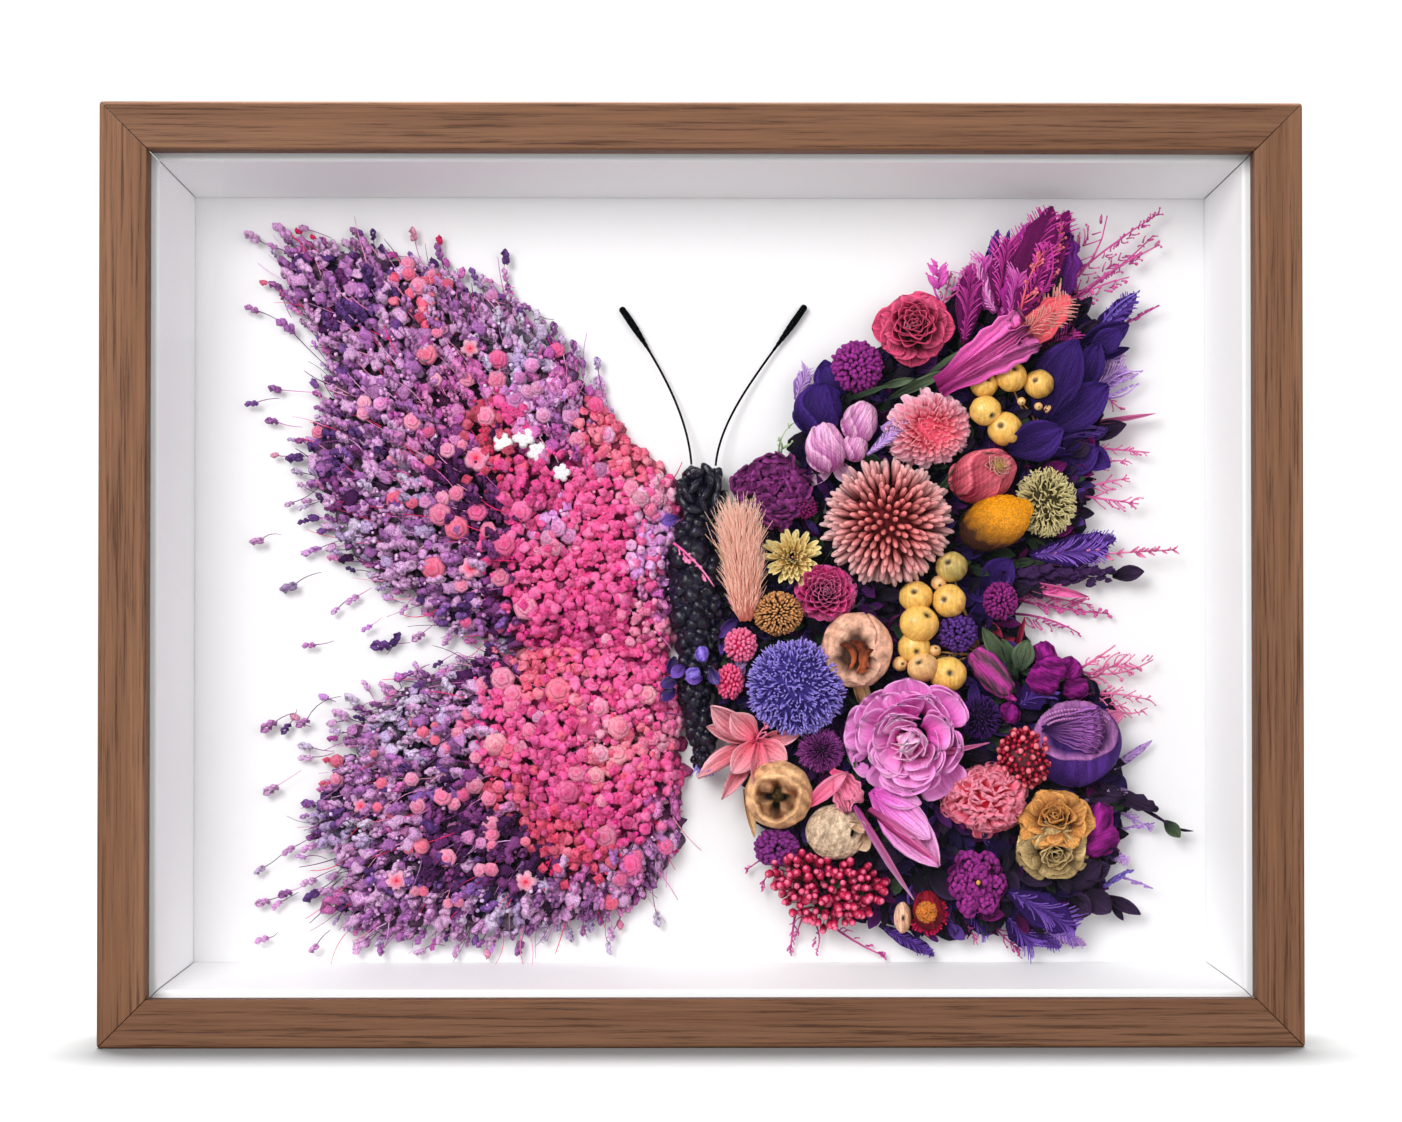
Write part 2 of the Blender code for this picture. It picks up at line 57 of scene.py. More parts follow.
def paint(red, green, blue):     # a colour as the eye sees it, 0 to 255, made linear
    seen = np.array((red, green, blue)) / 255
    return np.where(seen > 0.04045, ((seen + 0.055) / 1.055) ** 2.4, seen / 12.92)


def nodeSpot(node):     # centre, half sizes and lifts of a CAD node, in mm on the panel
    low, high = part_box(node)
    return {"x": (low.x + high.x) / 2 / mm, "z": (low.z + high.z) / 2 / mm,
            "halfWidth": (high.x - low.x) / 2 / mm, "halfLength": (high.z - low.z) / 2 / mm,
            "base": (panelY - high.y) / mm, "top": (panelY - low.y) / mm}


def unit(vectors):
    return vectors / np.maximum(np.linalg.norm(vectors, axis=-1, keepdims=True), 1e-9)


def facing(normals, spins):     # turns whose local Z is the normal
    normals = unit(np.asarray(normals, float))
    side = unit(np.cross(np.array((0.03, 1.0, 0.02)), normals))
    up = np.cross(normals, side)
    c, s = np.cos(spins)[:, None], np.sin(spins)[:, None]
    return np.stack([side * c + up * s, up * c - side * s, normals], axis=2)


def sized(size):     # turns that only grow
    return np.eye(3)[None] * size[:, None, None]


def pointing(directions, normals):     # turns whose local Y is the direction, with Z near the normal
    along = unit(np.asarray(directions, float))
    side = unit(np.cross(along, normals))
    return np.stack([side, along, np.cross(side, along)], axis=2)


def tilted(leanX, leanZ):     # one turn that leans a flower head to the right and up, in degrees
    a, b = math.radians(leanX), math.radians(leanZ)
    turnY = np.array([[math.cos(a), 0, math.sin(a)], [0, 1, 0], [-math.sin(a), 0, math.cos(a)]])
    turnX = np.array([[1, 0, 0], [0, math.cos(b), math.sin(b)], [0, -math.sin(b), math.cos(b)]])
    return turnX @ turnY


def readShape(bm, tone, eye=None, grain=None):     # as arrays; tone runs from deep colour 0 to rim colour 1
    bmesh.ops.recalc_face_normals(bm, faces=bm.faces)
    bm.verts.index_update()
    spots = np.array([v.co[:] for v in bm.verts])
    shape = {"verts": spots, "grain": spots if grain is None else grain,
             "loops": np.array([v.index for f in bm.faces for v in f.verts]),
             "sizes": np.array([len(f.verts) for f in bm.faces]),
             "tone": np.clip(tone, 0, 1),
             "eye": np.zeros(len(spots)) if eye is None else np.clip(eye, 0, 1)}
    bm.free()
    return shape


def corners(bm):
    return np.array([v.co[:] for v in bm.verts])


def moveTo(bm, spots):
    for v, spot in zip(bm.verts, spots):
        v.co = spot


def petalShape(width, point=0.5, widest=1.3, neck=0.2, cup=0.0, curl=0.0, ruffle=0.0, waves=3.0,
               across=4, along=5, thick=0.04, groove=0.0, notch=0.0, teeth=0.0):
    bm = bmesh.new()     # a flat slab of unit length, then bent into a petal
    bmesh.ops.create_grid(bm, x_segments=across, y_segments=along, size=0.5)
    bmesh.ops.solidify(bm, geom=bm.faces[:], thickness=thick)
    flat = corners(bm)
    x, y, z = flat[:, 0] * 2, np.sin((flat[:, 1] + 0.5).clip(0, 1) * math.pi / 2), flat[:, 2] + thick / 2
    half = width / 2 * np.maximum(np.sin(np.pi * np.clip(y, 0, 1) ** widest) ** point, neck * (1 - y) + 0.1)
    half = half * (1 + teeth * np.sin((flat[:, 1] + 0.5) * along * math.pi / 2) * y)
    reach = y - notch * y * (1 - np.abs(x)) * (y > 0.9)
    bend = curl * reach
    safe = np.where(np.abs(bend) < 1e-5, 1e-5, bend)
    run = reach * np.sin(safe) / safe
    rise = reach * (1 - np.cos(safe)) / safe
    rise = rise + cup * x ** 2 * half / (width / 2) - groove * np.exp(-(x / 0.25) ** 2) * (1 - y)
    rise = rise + ruffle * np.sin(waves * np.pi * x + 1.3) * y ** 2
    thin = z * (1 - 0.6 * np.abs(x) ** 2)
    moveTo(bm, np.stack([x * half, run - thin * np.sin(bend), rise + thin * np.cos(bend)], axis=1))
    tone = 0.9 * y ** 1.2 + 0.4 * np.abs(x) ** 6 * y
    return readShape(bm, tone, None, np.stack([x, y, z], axis=1))


def fingerShape(slim, club=1.3, sides=6, rings=5, hook=0.0):     # a blunt little finger of unit length
    bm = bmesh.new()
    bmesh.ops.create_uvsphere(bm, u_segments=sides, v_segments=rings, radius=1)
    ball = corners(bm)
    y = (ball[:, 2] + 1) / 2
    girth = slim * (0.7 + (club - 0.7) * y)
    moveTo(bm, np.stack([ball[:, 0] * girth, y, ball[:, 1] * girth + hook * y ** 2 * 0.3], axis=1))
    return readShape(bm, y ** 1.6)


def floretShape(lobes, depth, flat, hollow, rings=4, perLobe=2):     # a closed little flower with a sunk eye
    bm = bmesh.new()
    bmesh.ops.create_uvsphere(bm, u_segments=lobes * perLobe, v_segments=rings, radius=1)
    ball = corners(bm)
    reach = np.hypot(ball[:, 0], ball[:, 1])
    turn = np.arctan2(ball[:, 0], ball[:, 1])
    wave = np.abs(np.cos(lobes * turn / 2)) ** 0.7 * 2 - 1 if perLobe > 2 else np.cos(lobes * turn)
    grow = 1 + depth * wave * reach
    sunk = hollow * np.exp(-(reach / 0.4) ** 2) * (ball[:, 2] > 0)
    lift = ball[:, 2] * flat * (1 - 0.25 * np.cos(lobes * turn) * reach) - sunk
    moveTo(bm, np.stack([ball[:, 0] * grow, ball[:, 1] * grow, lift], axis=1))
    tone = np.where(ball[:, 2] > -0.1, reach ** 1.4 * (0.75 + 0.25 * np.cos(lobes * turn)), 0)
    return readShape(bm, tone, np.exp(-(reach / 0.3) ** 2) * (ball[:, 2] > 0))


def ballShape(detail, lumps=0.0, seed=1, squash=1.0, stretch=1.0):     # a lumpy ball; tone is painted light on top, the side that faces out of the frame, and dark below, as painted light and shade, and varies with the lumps
    bm = bmesh.new()
    bmesh.ops.create_icosphere(bm, subdivisions=detail, radius=1)
    ball = corners(bm)
    bumps = np.random.default_rng(seed).normal(0, 1, len(ball))
    grow = 1 + lumps * bumps
    moveTo(bm, ball * grow[:, None] * np.array((1, stretch, squash)))
    # painted light on top and painted shade below, plus a spread of tone that follows the lumps
    return readShape(bm, 0.5 + 0.35 * ball[:, 2] + 0.5 * lumps * bumps / max(lumps, 1e-9) * 0.35)


def joinShapes(shapes, moves):     # several shapes as one, each moved by (x, y, z, size)
    verts, loops, sizes, tones, eyes, grains, start = [], [], [], [], [], [], 0
    for shape, (x, y, z, size) in zip(shapes, moves):
        verts.append(shape["verts"] * size + np.array((x, y, z)))
        loops.append(shape["loops"] + start)
        sizes.append(shape["sizes"])
        tones.append(shape["tone"])
        eyes.append(shape["eye"])
        grains.append(shape["grain"])
        start += len(shape["verts"])
    return {"verts": np.concatenate(verts), "loops": np.concatenate(loops), "grain": np.concatenate(grains),
            "sizes": np.concatenate(sizes), "tone": np.concatenate(tones), "eye": np.concatenate(eyes)}


def budHeadShape(seed, bits=8, spread=0.36):     # a lavender head: calyxes and buds round a spine
    chance = np.random.default_rng(seed)
    mouth, bud = floretShape(4, 0.22, 0.9, 0.7, 3), ballShape(1, 0.16, seed, 0.8, 1.3)
    parts, moves = [], []
    for i in range(bits):
        y = -0.85 + 1.7 * i / (bits - 1)
        swing, reach = i * goldenAngle + seed, spread * (1 - 0.45 * abs(y))
        part = dict(mouth if i % 3 == 0 else bud)
        part["tone"] = np.clip(part["tone"] * 0.75 + chance.uniform(-0.15, 0.45), 0, 1)
        parts.append(part)
        moves.append((reach * math.cos(swing), y, 0.22 + 0.5 * reach * math.sin(swing),
                      chance.uniform(0.34, 0.5)))
    return joinShapes(parts, moves)


def stalkShape(sides=3, cuts=4):     # a closed tube; x and z are its section, y runs 0 to 1
    bm = bmesh.new()
    bmesh.ops.create_cone(bm, cap_ends=True, segments=sides, radius1=1, radius2=1, depth=1)
    long = [e for e in bm.edges if abs(e.verts[0].co.z - e.verts[1].co.z) > 0.5]
    bmesh.ops.subdivide_edges(bm, edges=long, cuts=cuts, use_grid_fill=True)
    bm.normal_update()
    tube = corners(bm)
    moveTo(bm, np.stack([tube[:, 0], tube[:, 2] + 0.5, -tube[:, 1]], axis=1))
    return readShape(bm, tube[:, 2] + 0.5)


def addCopies(heap, shape, turns, places, deep, rim, eye=None):
    places = np.asarray(places, float).reshape(-1, 3)
    count, size = len(places), len(shape["verts"])
    if count == 0:
        return
    verts = np.einsum("nij,vj->nvi", turns, shape["verts"]) + places[:, None, :]
    deep = np.broadcast_to(deep, (count, 3))[:, None, :]
    rim = np.broadcast_to(rim, (count, 3))[:, None, :]
    tone = shape["tone"][None, :, None]
    colour = deep * (1 - tone) + rim * tone
    if eye is not None:
        dot = shape["eye"][None, :, None]
        colour = colour * (1 - dot) + np.broadcast_to(eye, (count, 3))[:, None, :] * dot
    loops = shape["loops"][None, :] + np.arange(count)[:, None] * size
    grain = (shape["grain"][None] + dice.uniform(0, 40, (count, 1, 3))).reshape(-1, 3)
    heap.append((verts.reshape(-1, 3), loops.ravel(), np.tile(shape["sizes"], count), colour.reshape(-1, 3),
                 grain))


def addStalks(heap, shape, starts, ends, thick, bend, deep, rim, taper=0.6):
    starts, ends = np.asarray(starts, float).reshape(-1, 3), np.asarray(ends, float).reshape(-1, 3)
    count = len(starts)
    turns = pointing(ends - starts, np.broadcast_to((0.0, 0.0, 1.0), (count, 3)) + 1e-3)
    y = shape["verts"][:, 1][None, :, None]
    thick = np.broadcast_to(thick, count)[:, None, None]
    bow = np.broadcast_to(bend, count)[:, None, None] * 4 * y * (1 - y)
    length = np.linalg.norm(ends - starts, axis=1)[:, None, None]
    side, lift = turns[:, None, :, 0], turns[:, None, :, 2]
    section = thick * (1 - (1 - taper) * y)
    verts = starts[:, None] * (1 - y) + ends[:, None] * y + side * bow * length
    verts = verts + side * shape["verts"][:, 0][None, :, None] * section
    verts = verts + lift * shape["verts"][:, 2][None, :, None] * section
    deep = np.broadcast_to(deep, (count, 3))[:, None, :]
    rim = np.broadcast_to(rim, (count, 3))[:, None, :]
    colour = deep * (1 - y) + rim * y
    loops = shape["loops"][None, :] + np.arange(count)[:, None] * len(shape["verts"])
    grain = (shape["grain"][None] + dice.uniform(0, 40, (count, 1, 3))).reshape(-1, 3)
    heap.append((verts.reshape(-1, 3), loops.ravel(), np.tile(shape["sizes"], count), colour.reshape(-1, 3),
                 grain))


def addBall(heap, shape, place, size, deep, rim, turn=None):
    turn = np.eye(3) if turn is None else turn
    addCopies(heap, shape, (turn * np.asarray(size))[None], [place], deep, rim)


def buildPiece(name, heap, material, nodes=()):     # the heap as one piece, in metres in the frame
    verts = np.concatenate([part[0] for part in heap])
    colours = np.concatenate([part[3] for part in heap])
    sizes = np.concatenate([part[2] for part in heap])
    start, loops = 0, []
    for part in heap:
        loops.append(part[1] + start)
        start += len(part[0])
    loops = np.concatenate(loops)
    spots = np.stack([verts[:, 0] * mm, panelY - verts[:, 2] * mm, verts[:, 1] * mm], axis=1)
    mesh = bpy.data.meshes.new(name)
    mesh.vertices.add(len(spots))
    mesh.vertices.foreach_set("co", spots.astype(np.float32).ravel())
    mesh.loops.add(len(loops))
    mesh.loops.foreach_set("vertex_index", loops.astype(np.int32))
    mesh.polygons.add(len(sizes))
    mesh.polygons.foreach_set("loop_start", (np.cumsum(sizes) - sizes).astype(np.int32))
    mesh.polygons.foreach_set("use_smooth", np.ones(len(sizes), bool))
    mesh.update(calc_edges=True)
    mesh.validate()
    tint = mesh.attributes.new("tint", "FLOAT_COLOR", "POINT")
    bright = colours.clip(0) * np.minimum(2.1, 0.96 / colours.max(axis=1).clip(0.01))[:, None]
    filled = np.concatenate([bright, np.ones((len(colours), 1))], axis=1)
    tint.data.foreach_set("color", filled.astype(np.float32).ravel())
    streak = mesh.attributes.new("streak", "FLOAT_VECTOR", "POINT")
    streak.data.foreach_set("vector", np.concatenate([part[4] for part in heap]).astype(np.float32).ravel())
    mesh.materials.append(material)
    piece = bpy.data.objects.new(name, mesh)
    bpy.context.scene.collection.objects.link(piece)
    if nodes:
        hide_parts(*nodes)
    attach(piece, "root")
    print(name, "triangles", int((sizes - 2).sum()))
    return piece


def newMaterial(name, roughness, specular=0.5):
    material = bpy.data.materials.new(name)
    material.use_nodes = True
    shader = material.node_tree.nodes["Principled BSDF"]
    shader.inputs["Roughness"].default_value = roughness
    shader.inputs["Specular IOR Level"].default_value = specular
    return material, material.node_tree, shader


def addNode(tree, kind, values=None, **settings):
    node = tree.nodes.new(kind)
    for key, value in settings.items():
        setattr(node, key, value)
    for key, value in (values or {}).items():
        node.inputs[key].default_value = value
    return node


def addNoise(tree, vector, scale, detail=4.0, rough=0.6):
    noise = addNode(tree, "ShaderNodeTexNoise", {"Scale": scale, "Detail": detail, "Roughness": rough})
    tree.links.new(vector, noise.inputs["Vector"])
    return noise.outputs["Fac"]


def addRamp(tree, value, stops):     # stops are (place, linear colour)
    ramp = addNode(tree, "ShaderNodeValToRGB")
    while len(ramp.color_ramp.elements) < len(stops):
        ramp.color_ramp.elements.new(0.5)
    for element, (place, colour) in zip(ramp.color_ramp.elements, stops):
        element.position = place
        element.color = (*colour, 1)
    tree.links.new(value, ramp.inputs["Fac"])
    return ramp.outputs["Color"]


def addMultiply(tree, first, second, amount=1.0):
    mix = addNode(tree, "ShaderNodeMix", data_type="RGBA", blend_type="MULTIPLY")
    mix.inputs[0].default_value = amount
    tree.links.new(first, mix.inputs[6])
    tree.links.new(second, mix.inputs[7])
    return mix.outputs[2]


def addBump(tree, shader, height, distance, strength=1.0):
    bump = addNode(tree, "ShaderNodeBump", {"Distance": distance, "Strength": strength})
    tree.links.new(height, bump.inputs["Height"])
    tree.links.new(bump.outputs["Normal"], shader.inputs["Normal"])


def objectPlace(tree, stretch=(1, 1, 1)):
    place = addNode(tree, "ShaderNodeTexCoord")
    mapping = addNode(tree, "ShaderNodeMapping", {"Scale": stretch})
    tree.links.new(place.outputs["Object"], mapping.inputs["Vector"])
    return mapping.outputs["Vector"]


def tintedMaterial(name, roughness=0.75, specular=0.3, grain=1400, low=0.62, high=1.18, bump=0.0004, glow=0.0,
                   detail=5.0, veins=0.0):     # dried petals and pods: the mesh's tint, mottled, veined
    material, tree, shader = newMaterial(name, roughness, specular)
    place = objectPlace(tree)
    tint = addNode(tree, "ShaderNodeAttribute", attribute_name="tint", attribute_type="GEOMETRY")
    mottle = addNoise(tree, place, grain, detail)
    shade = addRamp(tree, mottle, [(0.3, (low,) * 3), (0.7, (high,) * 3)])
    colour = addMultiply(tree, tint.outputs["Color"], shade)
    if veins:
        run = addNode(tree, "ShaderNodeAttribute", attribute_name="streak", attribute_type="GEOMETRY")
        long = addNode(tree, "ShaderNodeMapping", {"Scale": (9, 0.9, 1)})
        tree.links.new(run.outputs["Vector"], long.inputs["Vector"])
        vein = addNoise(tree, long.outputs["Vector"], 1.0, 3)
        colour = addMultiply(tree, colour, addRamp(tree, vein,
                                                   [(0.3, (1 - veins,) * 3), (0.7, (1 + veins * 0.5,) * 3)]))
    tree.links.new(colour, shader.inputs["Base Color"])
    addBump(tree, shader, mottle, bump)
    shader.inputs["Subsurface Weight"].default_value = glow     # light through thin petals
    shader.inputs["Subsurface Scale"].default_value = 0.0012
    shader.inputs["Subsurface Radius"].default_value = (1, 0.5, 0.8)
    return material


def oakMaterial(name, stretch, pale=1.0):     # walnut-stained oak; the stretch is small along the grain
    wood = {"deep": paint(97, 64, 42) * pale, "mid": paint(112, 76, 53) * pale,
            "light": paint(122, 86, 63) * pale}
    material, tree, shader = newMaterial(name, 0.62, 0.22)
    place = objectPlace(tree, stretch)
    broad = addNoise(tree, place, 120, 4, 0.55)
    fine = addNoise(tree, place, 900, 5, 0.75)
    colour = addRamp(tree, broad, [(0.3, wood["deep"]), (0.5, wood["mid"]), (0.7, wood["light"])])
    pores = addRamp(tree, fine, [(0.37, (0.4, 0.34, 0.31)), (0.46, (0.86,) * 3), (0.6, (1.06,) * 3),
                                 (0.75, (1.16,) * 3)])
    tree.links.new(addMultiply(tree, colour, pores), shader.inputs["Base Color"])
    addBump(tree, shader, fine, 0.0002)
    return material


def grainyMaterial(name, finish, noise, stops, bump, metallic=0):     # one noise that tints and roughens
    material, tree, shader = newMaterial(name, *finish)
    shader.inputs["Metallic"].default_value = metallic
    grain = addNoise(tree, objectPlace(tree), *noise)
    tree.links.new(addRamp(tree, grain, stops), shader.inputs["Base Color"])
    addBump(tree, shader, grain, bump)
    return material


def paintMaterial(name, colour, roughness, scale, bump):     # matt white paint and board
    return grainyMaterial(name, (roughness, 0.3), (scale, 3), [(0.2, colour * 0.97), (0.8, colour)], bump)


def paneMaterial():
    material, _, shader = newMaterial("clearPane", 0.03, 0.5)
    shader.inputs["Base Color"].default_value = (0.02, 0.03, 0.028, 1)
    shader.inputs["Alpha"].default_value = 0.035
    return material


def dressFrame():     # the CAD nodes that stay get their finishes
    boardTints = [(0.3, paint(92, 62, 42)), (0.7, paint(142, 104, 74))]
    steelTints = [(0.3, paint(158, 160, 164)), (0.7, paint(206, 208, 212))]
    finishes = {"rail_bottom": oakMaterial("oakAcross", (0.022, 1, 1)),
                "rail_left": oakMaterial("oakUpright", (1, 1, 0.022), 1.1),
                "liner": paintMaterial("linerPaint", paint(250, 250, 251), 0.5, 500, 0.00006),
                "mount_board": paintMaterial("mountBoard", paint(240, 239, 240), 0.85, 1500, 0.00005),
                "backing_board": grainyMaterial("hardboard", (0.8, 0.2), (900, 8, 0.75), boardTints, 0.0002),
                "sawtooth_hanger": grainyMaterial("zincPlatedSteel", (0.32,), (260, 3), steelTints, 0.00005,
                                                  1),
                "glass_pane": paneMaterial()}
    finishes["rail_top"], finishes["rail_right"] = finishes["rail_bottom"], finishes["rail_left"]
    for name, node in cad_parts.items():
        finish = finishes.get(name) or (finishes["liner"] if name.startswith("liner") else None)
        if finish:
            node.data.materials.clear()
            node.data.materials.append(finish)
    print("frame dressed")
    return finishes


def buildStudio():
    cameraPlace, cameraPitch, cameraYaw = (-0.0084, -0.98355, 0.1184), 0.0149, -0.0085     # metres, radians
    cameraLens, cameraShift = 73.94, 0.0615     # mm, and share of the picture's width
    sunStrength, sunSpread, sunLean = 12, 9, -6.5     # the last two in degrees
    roomGlow, seenGlow, mirroredGlow = 0.84, 1.05, 0.15     # of the white surroundings
    camera = bpy.data.objects.new("camera", bpy.data.cameras.new("camera"))
    bpy.context.scene.collection.objects.link(camera)
    camera.location = cameraPlace
    camera.rotation_euler = (math.pi / 2 + cameraPitch, 0, cameraYaw)
    camera.data.lens = cameraLens
    camera.data.shift_y = cameraShift
    bpy.context.scene.camera = camera

    lights = {"key": {"place": (-0.7, -1.35, 0.78), "size": 0.75, "watts": 22, "aim": (0, 0, 0.16)},
              "fill": {"place": (0.95, -1.4, 0.3), "size": 1.2, "watts": 7.6, "aim": (0, 0, 0.15)}}
    for name, light in lights.items():
        lamp = bpy.data.lights.new(name, "AREA")
        lamp.size = light["size"]
        lamp.energy = light["watts"]
        holder = bpy.data.objects.new(name, lamp)
        bpy.context.scene.collection.objects.link(holder)
        holder.location = light["place"]
        aim = np.array(light["aim"]) - np.array(light["place"])
        holder.rotation_euler = (math.atan2(math.hypot(aim[0], aim[1]), -aim[2]), 0,
                                 math.atan2(-aim[0], aim[1]))

    sun = bpy.data.lights.new("over", "SUN")     # a broad light from above keeps the floor white
    sun.energy = sunStrength
    sun.angle = math.radians(sunSpread)
    holder = bpy.data.objects.new("over", sun)
    bpy.context.scene.collection.objects.link(holder)
    holder.rotation_euler = (math.radians(sunLean), 0, 0)

    world = bpy.data.worlds.new("studio")
    world.use_nodes = True
    world.node_tree.nodes["Background"].inputs["Color"].default_value = (1, 1, 1, 1)
    world.node_tree.nodes["Background"].inputs["Strength"].default_value = roomGlow
    seen = addNode(world.node_tree, "ShaderNodeBackground", {"Color": (1, 1, 1, 1), "Strength": seenGlow})
    mirrored = addNode(world.node_tree, "ShaderNodeBackground",
                       {"Color": (1, 1, 1, 1), "Strength": mirroredGlow})
    rays = addNode(world.node_tree, "ShaderNodeLightPath")     # a pure white backdrop, dark in reflections
    last = world.node_tree.nodes["Background"].outputs[0]
    for ray, shader in (("Is Glossy Ray", mirrored), ("Is Camera Ray", seen)):
        mix = addNode(world.node_tree, "ShaderNodeMixShader")
        world.node_tree.links.new(rays.outputs[ray], mix.inputs[0])
        world.node_tree.links.new(last, mix.inputs[1])
        world.node_tree.links.new(shader.outputs[0], mix.inputs[2])
        last = mix.outputs[0]
    world.node_tree.links.new(last, world.node_tree.nodes["World Output"].inputs[0])
    bpy.context.scene.world = world
    bpy.context.scene.view_settings.view_transform = "Standard"

    bm = bmesh.new()
    bmesh.ops.create_grid(bm, x_segments=1, y_segments=1, size=4)
    mesh = bpy.data.meshes.new("floor")
    bm.to_mesh(mesh)
    bm.free()
    ground, tree, shader = newMaterial("floorPaint", 0.8, 0.1)
    rays = addNode(tree, "ShaderNodeLightPath")     # the floor looks white but throws little light back
    shade = addRamp(tree, rays.outputs["Is Camera Ray"],
                    [(0.0, paint(96, 96, 96)), (1.0, paint(134, 134, 134))])
    tree.links.new(shade, shader.inputs["Base Color"])
    mesh.materials.append(ground)
    floor = bpy.data.objects.new("floor", mesh)
    bpy.context.scene.collection.objects.link(floor)
    print("studio ready")


hues = {     # of the left wings, where tiny florets lie close together
    "dusk": [(186, 136, 182), (164, 108, 160), (206, 160, 202), (142, 88, 146)],
    "smoke": [(188, 166, 198), (164, 140, 180), (206, 188, 214)],
    "violet": [(92, 56, 116), (72, 42, 96), (116, 76, 142)],
    "plum": [(86, 36, 88), (62, 24, 68), (114, 54, 110)],
    "hotPink": [(244, 86, 164), (250, 116, 182), (232, 62, 148)],
    "magenta": [(214, 42, 138), (196, 34, 126), (232, 66, 156)],
    "rose": [(248, 146, 184), (252, 172, 202)],
    "pale": [(252, 204, 222), (248, 182, 214)],
    "coral": [(244, 112, 146), (248, 136, 160), (234, 86, 126)],
    "crimson": [(208, 40, 96), (184, 30, 84)],
    "lilac": [(218, 164, 222), (200, 140, 212), (232, 190, 230)],
    "peach": [(252, 188, 194), (248, 164, 180)],
    "white": [(253, 251, 251), (246, 240, 244)],
    "mauve": [(188, 100, 162), (164, 80, 148), (206, 126, 180)]}
hues = {name: np.array([paint(*colour) for colour in colours]) for name, colours in hues.items()}


def pickHue(names):     # one linear colour for each name, varied a little
    out = np.array([hues[name][dice.integers(len(hues[name]))] for name in names])
    return out * dice.normal(1, 0.12, (len(out), 1)).clip(0.7, 1.35)


def isInside(outline, x, z):
    inside = np.zeros(len(x), bool)
    ends = outline[1:] + outline[:1]
    for (x0, z0), (x1, z1) in zip(outline, ends):
        if z0 == z1:
            continue
        crosses = (z0 > z) != (z1 > z)
        inside ^= crosses & (x < (x1 - x0) * (z - z0) / (z1 - z0) + x0)
    return inside


def edgeGap(outline, x, z):     # distance in mm to the outline
    best = np.full(len(x), 1e9)
    ends = outline[1:] + outline[:1]
    for (x0, z0), (x1, z1) in zip(outline, ends):
        dx, dz = x1 - x0, z1 - z0
        t = (((x - x0) * dx + (z - z0) * dz) / (dx * dx + dz * dz)).clip(0, 1)
        best = np.minimum(best, np.hypot(x - x0 - t * dx, z - z0 - t * dz))
    return best


def strew(outline, gap, jitter=0.42):     # evenly strewn places inside an outline
    xs, zs = zip(*outline)
    across = np.arange(min(xs), max(xs), gap)
    up = np.arange(min(zs), max(zs), gap * 0.87)
    x, z = np.meshgrid(across, up)
    x = x + (np.arange(len(up)) % 2)[:, None] * gap / 2
    x = x.ravel() + dice.normal(0, jitter * gap, x.size).clip(-gap, gap)
    z = z.ravel() + dice.normal(0, jitter * gap, z.size).clip(-gap, gap)
    keep = isInside(outline, x, z)
    return x[keep], z[keep]


